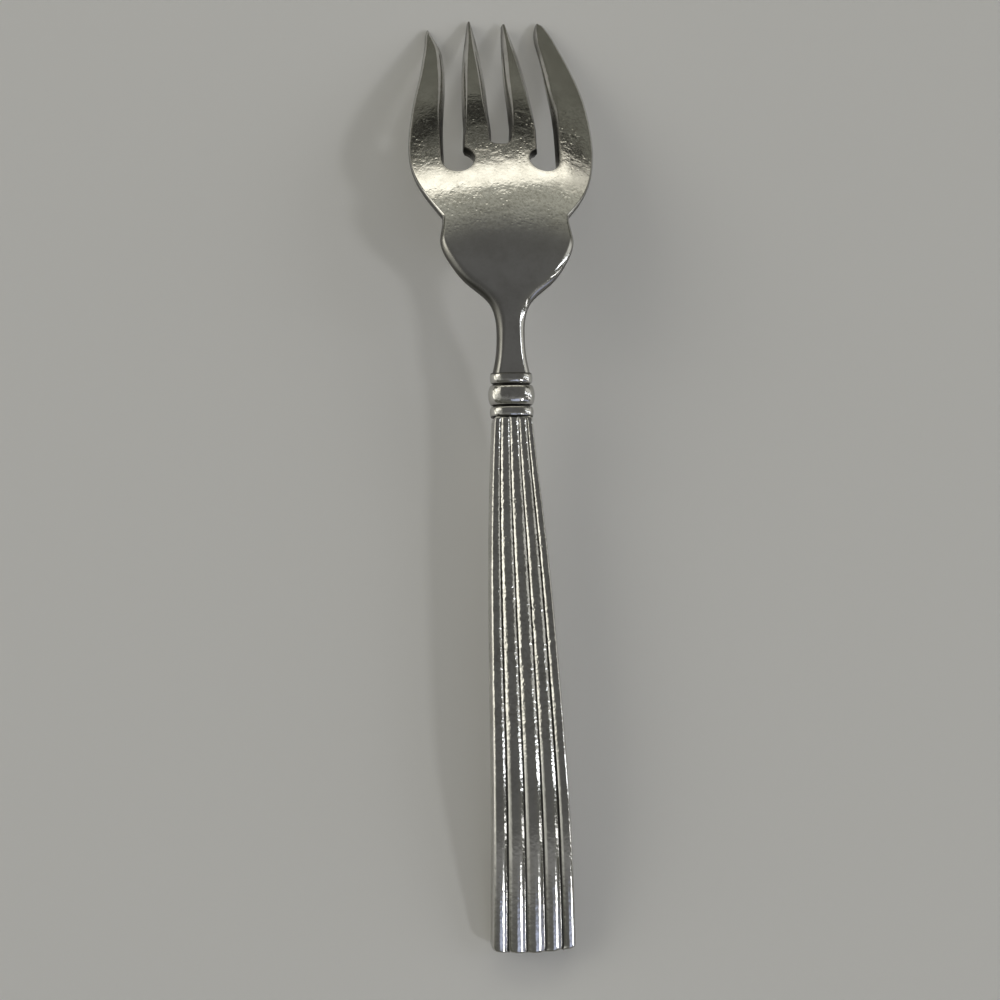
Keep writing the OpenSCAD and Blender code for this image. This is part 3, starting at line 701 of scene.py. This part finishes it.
# %% [markdown]
# Rims, slot roots, tine tips, grooves and valleys are painted dark as painted shade, and that thin dark
# line draws every shape of the fork. The flank of neck and lower bowl on the slim side is painted dark
# further in, as a painted dark reflection. Use marks the steel by place too: most above the notches and
# round the roots of the tines. How dark and how worn each point is goes into attributes of the mesh,
# which the materials read later.

# %% Painted shade on the edges, and wear of the head
FLANK_PLACES = (10, 20, 28, 34)
SLIM_FLANK = (1.2, 1.9, 1.3, 0.34)
BROAD_FLANK = (0.45, 0.6, 0.5, 0.34)
ROOT_PLACES = (43, 48, 57, 67)
ROOT_DARK = (0.2, 1.0, 1.0, 0.0)
TIP_PLACES = (72, 78)
WEAR_PLACES = (30, 33, 38, 40.5, 42, 44, 48, 58, 66)
HEAD_WEAR = (0.12, 0.8, 1.0, 0.6, 0.2, 0.35, 0.9, 0.9, 0.25)


def keep(piece, name, values):
    """Keeps a value from 0 to 1 at each point of a piece, for its material."""
    attribute = piece.data.attributes.new(name, "FLOAT", "POINT")
    attribute.data.foreach_set("value", np.asarray(values, float))


def fading(distance, start, end, most=1.0):
    """A shade that is strongest up to a start and fades to nothing at an end."""
    return np.interp(distance, [start, end], [most, 0.0])


# painted dark reflection reaching far in on the slim flank of neck and lower bowl, painted shade along the
# other rims
rim_reach = np.where(x < 0, np.interp(y, FLANK_PLACES, SLIM_FLANK), np.interp(y, FLANK_PLACES, BROAD_FLANK))
rim_shade = fading(outer_gap / rim_reach, 0.25, 1.0, most=0.85)
# painted shade in the roots of the slots
root_shade = fading(slot_gap, 0.3, 0.85) * np.interp(y, ROOT_PLACES, ROOT_DARK)
# painted shade on the slot walls near the tine tips
tip_shade = fading(slot_gap, 0.2, 0.6, most=0.7) * np.interp(y, TIP_PLACES, [0.0, 1.0])
painted_edge_shade = np.maximum(np.maximum(rim_shade, root_shade), tip_shade)
keep(head, "painted_edge_shade", np.concatenate([painted_edge_shade, painted_edge_shade[under]]))
wear = np.interp(y, WEAR_PLACES, HEAD_WEAR)
keep(head, "wear", np.concatenate([wear, wear[under]]))
print(f"points of the head with a dark edge: {np.mean(painted_edge_shade > 0):.0%}")

# %% Painted shade in the collar's grooves
GROOVE_SHADE = (0.1, 0.28)
# painted shade in the two grooves and at both ends of the collar
groove_places = np.array([0.0, BAND_LENGTH + GROOVE_WIDTH / 2, top_band_start - GROOVE_WIDTH / 2,
                          COLLAR_LENGTH])
ring_places = np.array([place for place, _ in outside + socket])
from_groove = np.abs(ring_places[:, None] - groove_places).min(axis=1)
keep(collar, "painted_edge_shade", np.repeat(fading(from_groove, *GROOVE_SHADE), RING_STEPS))
keep(collar, "wear", np.ones(len(ring_places) * RING_STEPS))
print("rings in the collar's grooves:", np.count_nonzero(from_groove < GROOVE_SHADE[1]))

# %% [markdown]
# The handle is two stamped shells that meet along its sides. Each shell carries five long reeds with
# round ends at the collar. An array of cylinders could not taper, fan out and bow together, so a shell
# is a sheet of points: across, five arcs with sharp valleys that stand closer where they go round the
# sides, and along, rows that follow the side line.
# A Solidify modifier then gives the sheet the thickness of the stamping.

# %% Reeded section
REEDS = 5
REED_FULLNESS = 0.22
CROWN_FALL = 0.1
REED_ANGLE = math.radians(60)
REED_STEPS = 16
REED_WRAP = 0.13
REED_SHIFT = 0.045
SIDE_FULLNESS = 3.4
HANDLE_END_HALF = 6.8
handle_side = smooth_line([[-HANDLE_LENGTH, HANDLE_END_HALF], [-46.0, 5.775], [-22.0, 4.85], [0.0, 3.35]])
handle_depth = smooth_line([[-HANDLE_LENGTH, 2.15], [-46.0, 2.45], [0.0, 2.55]])

swing = np.radians(np.linspace(-90, 90, REED_STEPS + 1))
one_reed = np.sin(swing)
reeds = [one_reed if index == 0 else one_reed[1:] for index in range(REEDS)]
across = np.concatenate([index + 0.5 + reed / 2 for index, reed in enumerate(reeds)])
from_crest = np.concatenate(reeds)
reed_drop = np.sqrt(1 - (from_crest * math.sin(REED_ANGLE)) ** 2) - math.cos(REED_ANGLE)
reed_arc = reed_drop / (1 - math.cos(REED_ANGLE))
outermost = (across < 0.5) | (across > REEDS - 0.5)


def wrapped(share):
    """Place across the handle, from -1 to 1, with the reeds closer together towards its sides."""
    return (share * (1 + REED_WRAP) + REED_SHIFT) * (1 - share ** 2) + share ** 3


def reeded(y, end_cut, end_share):
    """Section of the handle's back at y: points across it and their heights over the parting line."""
    half = handle_side(y)[0] - end_cut
    depth = handle_depth(y)[0]
    pitch = 2 * half / REEDS
    groove = REED_FULLNESS * pitch
    half = half - groove * (1 - end_share)
    depth = depth - groove * (1 - end_share)
    groove = groove * end_share
    share = wrapped(2 * across / REEDS - 1)
    crest = depth * (1 - CROWN_FALL * wrapped(1 - 1 / REEDS) ** 2)
    height = depth * (1 - CROWN_FALL * share ** 2) - groove * (1 - reed_arc)
    side = crest * (1 - np.minimum(1, np.abs(from_crest)) ** SIDE_FULLNESS) ** (1 / SIDE_FULLNESS)
    return half * share, np.where(outermost, side, height)


print("reeded section:", REEDS, "reeds,", len(across), "points across")

# %% Rows of the handle
REED_ROUND = 1.0
END_CORNER = 0.6
END_RIM = 0.3
END_ARC = 0.5
END_SWING = 20.0
END_FACE_SHARES = (0.0, 0.35, 0.7)
ROUND_ROWS = 9
LONG_ROWS = 200
turn = np.radians(np.linspace(0, 90, ROUND_ROWS))
long_rows = np.linspace(-HANDLE_LENGTH + END_CORNER, -REED_ROUND, LONG_ROWS)
handle_y = np.concatenate([-HANDLE_LENGTH + END_CORNER * (1 - np.sin(turn[::-1])), long_rows[1:],
                           -REED_ROUND + REED_ROUND * np.sin(turn[1:])])


def shell_rows(side):
    """Rows of points over one shell: the end face, its rounded rim, the reeds and their round ends."""
    rows = []
    for y in handle_y:
        near_end = max(0.0, 1 - (y + HANDLE_LENGTH) / END_CORNER)
        end_cut = END_CORNER * (1 - math.sqrt(max(0.0, 1 - near_end ** 2)))
        near_collar = max(0.0, 1 + y / REED_ROUND)
        x, height = reeded(y, end_cut, math.sqrt(max(0.0, 1 - near_collar ** 2)))
        near_rim = max(0.0, 1 - (y + HANDLE_LENGTH) / END_RIM)
        rim_cut = END_RIM * (1 - math.sqrt(max(0.0, 1 - near_rim ** 2)))
        height = np.maximum(height - rim_cut, 0) if rim_cut else height
        if not rows:
            for share in END_FACE_SHARES:
                rows.append((x, y, height * share))
        rows.append((x, y, height))
    points = []
    for x, y, height in rows:
        row = on_line(x, y, side * height)
        swing_share = max(0.0, 1 - (y + HANDLE_LENGTH) / END_SWING) ** 2
        row[:, 1] -= END_ARC * swing_share * (1 - (x / HANDLE_END_HALF) ** 2)
        points.append(row)
    return np.array(points)


print("handle:", len(handle_y) + len(END_FACE_SHARES), "rows of points")

# %% Make the two shells
SHELL_WALL = 0.65
SHELL_CREASE = 45
SHELL_WEAR_PLACES = (-84, -70, -60, -50)
SHELL_WEAR = (0.2, 0.25, 0.4, 1.0)
for name, node, side in (("handle_back_reeded", "handle_back_shell", 1),
                         ("handle_front_reeded", "handle_front_shell", -1)):
    points = shell_rows(side)
    faces = grid_faces(*points.shape[:2])
    shell = new_piece(name, points.reshape(-1, 3), faces if side > 0 else faces[:, ::-1], node)
    # painted shade in the valleys between the reeds, none on the outermost flanks
    valley = np.where(outermost, 0.0, fading(reed_arc, 0.0, 0.35))
    keep(shell, "painted_edge_shade", np.tile(valley, len(points)))
    keep(shell, "wear", np.interp(points[..., 1], SHELL_WEAR_PLACES, SHELL_WEAR).ravel())
    shell.data.set_sharp_from_angle(angle=math.radians(SHELL_CREASE))
    wall = shell.modifiers.new("stamped_wall", "SOLIDIFY")
    wall.thickness = SHELL_WALL * MM
    wall.offset = -1

# %% [markdown]
# Used steel is never a clean mirror. Fine scratches run in all directions, and small knocks dapple the
# highlights: shallow waves everywhere, and round dents that come in clusters. On the narrow reeds they
# break each line of light into beads. All pieces of this fork show them, so each effect is a node group
# that the materials share.

# %% Node group helpers
def new_group(name, inputs, outputs):
    """An empty shader node group with named sockets, and its input and output nodes."""
    group = bpy.data.node_groups.new(name, "ShaderNodeTree")
    for label, kind, default in inputs:
        socket = group.interface.new_socket(label, in_out="INPUT", socket_type=kind)
        if default is not None:
            socket.default_value = default
    for label, kind in outputs:
        group.interface.new_socket(label, in_out="OUTPUT", socket_type=kind)
    return group, group.nodes.new("NodeGroupInput"), group.nodes.new("NodeGroupOutput")


def add(tree, kind, settings=None, **inputs):
    """A node with its settings, and each input, by name or as i and its number, linked or set."""
    node = tree.nodes.new(kind)
    for key, value in (settings or {}).items():
        setattr(node, key, value)
    for key, value in inputs.items():
        socket = node.inputs[int(key[1:])] if key[1:].isdigit() else node.inputs[key.replace("_", " ")]
        if isinstance(value, bpy.types.NodeSocket):
            tree.links.new(value, socket)
        else:
            socket.default_value = value
    return node


def math_node(tree, operation, a, b=0.0, c=0.0):
    """The result of one sum."""
    return add(tree, "ShaderNodeMath", {"operation": operation}, i0=a, i1=b, i2=c).outputs[0]


def scaled_by(tree, vector, factor):
    """A vector made longer or shorter."""
    return add(tree, "ShaderNodeVectorMath", {"operation": "SCALE"}, i0=vector, Scale=factor).outputs[0]


def noise(tree, place, scale, detail, roughness):
    """Cloudy values between 0 and 1 over places."""
    return add(tree, "ShaderNodeTexNoise", None, Vector=place, Scale=scale, Detail=detail,
               Roughness=roughness).outputs[0]


def soft_step(tree, value, start, end, before, after):
    """A soft passage from what holds before a start to what holds after an end."""
    return add(tree, "ShaderNodeMapRange", {"interpolation_type": "SMOOTHSTEP"}, Value=value,
               i1=start, i2=end, i3=before, i4=after).outputs[0]


# %% Fine scratches
SCRATCH_WAYS = (
    # turn in degrees, and how the pattern is drawn out after it
    (12, (0.35, 9.0, 1.0)),
    (71, (0.5, 11.0, 1.0)),
    (-38, (0.28, 8.0, 1.0)),
)


def build_scratches():
    """A node group that draws fine straight scratches in three directions."""
    group, given, result = new_group(
        "Fine scratches",
        [("Place", "NodeSocketVector", None), ("Fineness", "NodeSocketFloat", 1.0),
         ("Amount", "NodeSocketFloat", 0.5)],
        [("Scratches", "NodeSocketFloat")])
    scaled = scaled_by(group, given.outputs["Place"], given.outputs["Fineness"])
    total = None
    for degrees, stretch in SCRATCH_WAYS:
        turned = add(group, "ShaderNodeMapping", {"vector_type": "POINT"}, Vector=scaled,
                     Rotation=(0, 0, math.radians(degrees))).outputs[0]
        drawn = add(group, "ShaderNodeMapping", {"vector_type": "POINT"}, Vector=turned,
                    Scale=stretch).outputs[0]
        streak = noise(group, drawn, scale=1.0, detail=2.0, roughness=0.55)
        line = soft_step(group, streak, 0.60, 0.72, before=0.0, after=1.0)
        total = line if total is None else math_node(group, "MAXIMUM", total, line)
    total = math_node(group, "MULTIPLY", total, given.outputs["Amount"])
    group.links.new(total, result.inputs["Scratches"])
    return group


scratches = build_scratches()
print(scratches.name, "has", len(scratches.nodes), "nodes")

# %% Small knocks
DENT_FINENESS = 0.7


def build_knocks():
    """A node group of shallow waves with clustered round dents, and of pits and dull patches."""
    group, given, result = new_group(
        "Small knocks",
        [("Place", "NodeSocketVector", None), ("Size", "NodeSocketFloat", 0.5),
         ("Roundness", "NodeSocketFloat", 0.0)],
        [("Dents", "NodeSocketFloat"), ("Pits", "NodeSocketFloat"), ("Dull", "NodeSocketFloat")])
    place = given.outputs["Place"]
    fine = math_node(group, "DIVIDE", 1.0, given.outputs["Size"])
    waves = noise(group, place, scale=fine, detail=1.5, roughness=0.55)
    coarse = math_node(group, "MULTIPLY", fine, DENT_FINENESS)
    from_centre = add(group, "ShaderNodeTexVoronoi", None, Vector=place, Scale=coarse).outputs["Distance"]
    round_dents = soft_step(group, from_centre, 0.05, 0.4, before=0.0, after=1.0)
    crowding = noise(group, place, scale=0.3, detail=2.0, roughness=0.6)
    clusters = soft_step(group, crowding, 0.42, 0.62, before=0.15, after=1.4)
    round_dents = math_node(group, "MULTIPLY", round_dents, clusters)
    dents = math_node(group, "MULTIPLY_ADD", round_dents, given.outputs["Roundness"], waves)
    patches = noise(group, place, scale=0.22, detail=4.0, roughness=0.6)
    dull = soft_step(group, patches, 0.35, 0.70, before=0.0, after=1.0)
    pits = soft_step(group, waves, 0.34, 0.56, before=1.0, after=0.0)
    for label, value in (("Dents", dents), ("Pits", pits), ("Dull", dull)):
        group.links.new(value, result.inputs[label])
    return group


knocks = build_knocks()
print(knocks.name, "has", len(knocks.nodes), "nodes")

# %% [markdown]
# Stainless steel is a metal with a slightly warm grey reflection. All pieces get the same recipe with
# their own values: the head is polished further, and reeds and collar are knocked about more. Knocks and
# pits go by the wear that each mesh keeps, and its painted edge shade turns the steel dark and dull.

# %% Steel
STEEL = (0.61, 0.60, 0.578, 1)
TARNISH = (0.30, 0.287, 0.256, 1)
# near-black colour of the painted shade and painted dark reflections, blended in by the kept edge shade
PAINTED_SHADE = (0.045, 0.043, 0.038, 1)
DULL_TARNISH = 0.3
DULL_ROUGHNESS = 0.06
SCRATCH_ROUGHNESS = 0.12
PAINTED_SHADE_ROUGHNESS = 0.25
SCRATCH_STRENGTH = 0.35
SCRATCH_DEPTH = 0.006


def place_in_mm(tree):
    """Places on the object in millimetres, for textures."""
    return scaled_by(tree, add(tree, "ShaderNodeTexCoord").outputs["Object"], 1 / MM)


def use(tree, group, **inputs):
    """A shared node group placed in a node tree with its own values."""
    return add(tree, "ShaderNodeGroup", {"node_tree": group}, **inputs).outputs


def kept(tree, name):
    """What a mesh keeps under a name at each of its points."""
    return add(tree, "ShaderNodeAttribute", {"attribute_name": name}).outputs["Fac"]


def blend(tree, share, first, second):
    """A colour between two, by a share."""
    return add(tree, "ShaderNodeMix", {"data_type": "RGBA"}, i0=share, i6=first, i7=second).outputs[2]


# %% Steel recipe
def steel(name, polish, scratch_amount, knock_size, knock_depth, roundness, pitted):
    """A worn polished steel, painted dark where the mesh keeps its edge shade, as painted shade. Knock size
    and depth are in millimetres.
    """
    material = bpy.data.materials.new(name)
    material.use_nodes = True
    tree = material.node_tree
    shader = tree.nodes["Principled BSDF"]
    shader.inputs["Metallic"].default_value = 1.0
    spot = place_in_mm(tree)
    lines = use(tree, scratches, Place=spot, Fineness=1.0, Amount=scratch_amount)["Scratches"]
    knocked = use(tree, knocks, Place=spot, Size=knock_size, Roundness=roundness)
    shade = kept(tree, "painted_edge_shade")
    wear = kept(tree, "wear")
    dark = math_node(tree, "MULTIPLY", knocked["Dull"], DULL_TARNISH)
    pits = math_node(tree, "MULTIPLY", knocked["Pits"], wear)
    dark = math_node(tree, "MULTIPLY_ADD", pits, pitted, dark)
    colour = blend(tree, dark, STEEL, TARNISH)
    # painted shade: the kept edge shade blends the steel towards near black
    tree.links.new(blend(tree, shade, colour, PAINTED_SHADE), shader.inputs["Base Color"])
    rough = math_node(tree, "MULTIPLY_ADD", knocked["Dull"], DULL_ROUGHNESS, polish)
    rough = math_node(tree, "MULTIPLY_ADD", lines, SCRATCH_ROUGHNESS, rough)
    rough = math_node(tree, "MULTIPLY_ADD", shade, PAINTED_SHADE_ROUGHNESS, rough)
    tree.links.new(rough, shader.inputs["Roughness"])
    dented = add(tree, "ShaderNodeBump", None, Strength=wear, Distance=knock_depth * MM,
                 Height=knocked["Dents"]).outputs[0]
    drawn = add(tree, "ShaderNodeBump", {"invert": True}, Strength=SCRATCH_STRENGTH,
                Distance=SCRATCH_DEPTH * MM, Height=lines, Normal=dented).outputs[0]
    tree.links.new(drawn, shader.inputs["Normal"])
    return material


# %% Steel on each piece
head_steel = steel("worn_head_steel", polish=0.07, scratch_amount=0.4, knock_size=0.50, knock_depth=0.013,
                   roundness=0.9, pitted=0.40)
reed_steel = steel("worn_reed_steel", polish=0.08, scratch_amount=0.3, knock_size=0.62, knock_depth=0.075,
                   roundness=0.35, pitted=0.25)
collar_steel = steel("worn_collar_steel", polish=0.08, scratch_amount=0.3, knock_size=0.6,
                     knock_depth=0.045, roundness=0.0, pitted=0.1)
finishes = {
    "fork_head_forging": (head_steel, "polished_steel"),
    "collar_ferrule": (collar_steel, "handle_steel"),
    "handle_back_reeded": (reed_steel, "handle_steel"),
    "handle_front_reeded": (reed_steel, "handle_steel"),
}
for name, (material, slot) in finishes.items():
    bpy.data.objects[name].data.materials.append(material)
    print(name, "is", material.name)

# %% [markdown]
# Inside the shells, cement holds the tang. It can't be seen in the finished fork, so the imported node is
# right as it is and only gets a finish: pale, matt and grainy.

# %% Cement
CEMENT_DARK = (0.36, 0.34, 0.31, 1)
CEMENT_PALE = (0.58, 0.56, 0.52, 1)
GRAIN_DEPTH = 0.1
cement = bpy.data.materials.new("grainy_cement")
cement.use_nodes = True
tree = cement.node_tree
grain = noise(tree, place_in_mm(tree), scale=1.4, detail=6.0, roughness=0.7)
shader = tree.nodes["Principled BSDF"]
shader.inputs["Roughness"].default_value = 0.9
tree.links.new(blend(tree, grain, CEMENT_DARK, CEMENT_PALE), shader.inputs["Base Color"])
bumpy = add(tree, "ShaderNodeBump", None, Strength=0.6, Distance=GRAIN_DEPTH * MM, Height=grain)
tree.links.new(bumpy.outputs[0], shader.inputs["Normal"])
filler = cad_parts["handle_filler"]
filler.data.materials.clear()
filler.data.materials.append(cement)
print("filler is", cement.name)

# %% [markdown]
# The table is a plain pale floor under the fork, large enough to meet the horizon in every view.

# %% Floor
FLOOR_HALF = 20.0
FLOOR_COLOUR = (0.85, 0.84, 0.83, 1)
floor_corners = [(FLOOR_HALF * x, FLOOR_HALF * y, 0) for x, y in ((-1, -1), (1, -1), (1, 1), (-1, 1))]
floor_mesh = bpy.data.meshes.new("floor")
floor_mesh.from_pydata(floor_corners, [], [(0, 1, 2, 3)])
floor = bpy.data.objects.new("floor", floor_mesh)
bpy.context.scene.collection.objects.link(floor)
stone = bpy.data.materials.new("pale_floor")
stone.use_nodes = True
stone_shader = stone.node_tree.nodes["Principled BSDF"]
stone_shader.inputs["Base Color"].default_value = FLOOR_COLOUR
stone_shader.inputs["Roughness"].default_value = 0.45
floor_mesh.materials.append(stone)
print("floor:", 2 * FLOOR_HALF, "m wide")

# %% [markdown]
# Polished metal shows its surroundings more than itself, so the light is made as surroundings: a dim
# studio with a few soft boxes, large ones for a glow and small bright ones for glints. Area lamps would
# light the floor unevenly in the other views; soft boxes on the world stand far away and light everything
# alike. They are laid out on a plan of the sky, with the point overhead in its middle and the horizon a
# circle of radius 1 around it, +Y up and +X to the right. One node group draws a soft box on that plan.

# %% Soft box group
def added(tree, a, b):
    """The sum of two vectors or colours."""
    return add(tree, "ShaderNodeVectorMath", {"operation": "ADD"}, i0=a, i1=b).outputs[0]


def build_soft_box():
    """A node group that is 1 inside a box on the plan of the sky, with soft edges, and 0 outside."""
    group, given, result = new_group(
        "Soft box",
        [("Plan", "NodeSocketVector", None), ("Centre", "NodeSocketVector", None),
         ("Half size", "NodeSocketVector", None), ("Softness", "NodeSocketFloat", 0.1),
         ("Bow", "NodeSocketFloat", 0.0)],
        [("Mask", "NodeSocketFloat")])
    off = add(group, "ShaderNodeVectorMath", {"operation": "SUBTRACT"}, i0=given.outputs["Plan"],
              i1=given.outputs["Centre"]).outputs[0]
    off = add(group, "ShaderNodeSeparateXYZ", None, Vector=off).outputs
    half = add(group, "ShaderNodeSeparateXYZ", None, Vector=given.outputs["Half size"]).outputs
    bend = math_node(group, "MULTIPLY", off["X"], off["X"])
    bend = math_node(group, "MULTIPLY", bend, given.outputs["Bow"])
    mask = 1.0
    for axis, place in (("X", off["X"]), ("Y", math_node(group, "SUBTRACT", off["Y"], bend))):
        past = math_node(group, "SUBTRACT", math_node(group, "ABSOLUTE", place), half[axis])
        softened = math_node(group, "DIVIDE", past, given.outputs["Softness"])
        edge = soft_step(group, softened, -0.5, 0.5, before=1.0, after=0.0)
        mask = math_node(group, "MULTIPLY", mask, edge)
    group.links.new(mask, result.inputs["Mask"])
    return group


soft_box = build_soft_box()
print(soft_box.name, "has", len(soft_box.nodes), "nodes")

# %% Dim studio
SKY = (
    # height over the horizon, as the sine of its angle, and colour; the dark band shows on the tines
    (0.0, (0.13, 0.13, 0.105)),
    (0.22, (0.19, 0.19, 0.16)),
    (0.28, (0.18, 0.18, 0.15)),
    (0.304, (0.022, 0.022, 0.019)),
    (0.352, (0.022, 0.022, 0.019)),
    (0.41, (0.13, 0.13, 0.11)),
    (0.47, (0.19, 0.19, 0.165)),
    (0.58, (0.15, 0.15, 0.135)),
    (1.0, (0.135, 0.135, 0.133)),
)
LEAST_SPREAD = 0.05
world = bpy.data.worlds.new("studio")
bpy.context.scene.world = world
world.use_nodes = True
tree = world.node_tree
looking = add(tree, "ShaderNodeTexCoord").outputs["Generated"]
ways = add(tree, "ShaderNodeSeparateXYZ", None, Vector=looking).outputs
ramp = add(tree, "ShaderNodeValToRGB", None, Fac=ways["Z"])
stops = ramp.color_ramp.elements
stops.remove(stops[1])
for number, (height, colour) in enumerate(SKY):
    stop = stops.new(height) if number else stops[0]
    stop.position = height
    stop.color = (*colour, 1)
light = ramp.outputs["Color"]
spread = math_node(tree, "MAXIMUM", math_node(tree, "ADD", ways["Z"], 1.0), LEAST_SPREAD)
plan_x = math_node(tree, "DIVIDE", ways["X"], spread)
plan_y = math_node(tree, "DIVIDE", ways["Y"], spread)
sky_plan = add(tree, "ShaderNodeCombineXYZ", None, X=plan_x, Y=plan_y).outputs[0]
print("sky:", len(stops), "stops from the horizon to the point overhead")

# %% Soft boxes
BOXES = (
    # name, centre and half size on the plan of the sky, softness, bow, colour
    ("back strip", (-0.10, 0.509), (0.40, 0.042), 0.04, 0.4, (1.60, 1.54, 1.34)),
    ("back strip end", (0.36, 0.55), (0.08, 0.04), 0.08, 0.0, (0.75, 0.72, 0.63)),
    ("back glow", (0.0, 0.43), (0.40, 0.08), 0.20, 0.3, (0.37, 0.37, 0.31)),
    ("left panel", (-0.54, 0.19), (0.17, 0.15), 0.14, 0.0, (1.65, 1.61, 1.44)),
    ("left glow", (-0.90, 0.08), (0.36, 0.22), 0.20, 0.0, (0.60, 0.59, 0.53)),
    ("left horizon", (-0.96, 0.08), (0.10, 0.22), 0.10, 0.0, (1.30, 1.27, 1.14)),
    ("left low glow", (-0.78, -0.12), (0.42, 0.14), 0.15, 0.0, (0.42, 0.42, 0.39)),
    ("right glow", (0.85, 0.16), (0.38, 0.13), 0.20, 0.0, (0.68, 0.68, 0.65)),
    ("right lamp", (0.75, -0.012), (0.33, 0.010), 0.015, 0.0, (9.0, 9.4, 10.0)),
    ("right low lamp", (0.74, -0.165), (0.28, 0.007), 0.012, 0.0, (7.0, 7.0, 7.0)),
    ("front glow", (-0.10, -0.25), (0.60, 0.04), 0.10, 0.0, (0.14, 0.14, 0.14)),
    ("front lamp", (0.13, -0.375), (0.11, 0.055), 0.05, 0.0, (0.62, 0.7, 0.98)),
    ("front fill", (0.60, -0.375), (0.22, 0.055), 0.08, 0.0, (0.45, 0.48, 0.68)),
    ("key lamp", (0.33, -0.312), (0.032, 0.022), 0.025, 0.0, (38.0, 38.5, 39.0)),
)
for name, centre, half_size, softness, bow, colour in BOXES:
    mask = use(tree, soft_box, Plan=sky_plan, Centre=(*centre, 0), Half_size=(*half_size, 0),
               Softness=softness, Bow=bow)["Mask"]
    light = added(tree, light, scaled_by(tree, colour, mask))
    print("soft box:", name)
tree.links.new(light, tree.nodes["Background"].inputs["Color"])

# %% [markdown]
# The camera stands behind the handle's end and a little to the left, looking down on the fork. Its
# place was worked out from the fork's own outline in the picture.

# %% Camera
CAMERA_PLACE = (-30.97, -83.52, 243.17)
CAMERA_TURN = (16.963, -5.944, -2.805)
FOCAL_SHARE = 1.45418
SENSOR = 36.0
NEAREST = 5.0
camera_data = bpy.data.cameras.new("camera")
camera_data.sensor_width = SENSOR
camera_data.lens = SENSOR * FOCAL_SHARE
camera_data.clip_start = NEAREST * MM
camera = bpy.data.objects.new("camera", camera_data)
camera.location = Vector(CAMERA_PLACE) * MM
camera.rotation_euler = [math.radians(angle) for angle in CAMERA_TURN]
bpy.context.scene.collection.objects.link(camera)
bpy.context.scene.camera = camera
bpy.context.scene.view_settings.view_transform = "Standard"
print(f"camera: {CAMERA_PLACE[2]:.0f} mm over the table, lens {camera_data.lens:.1f} mm")
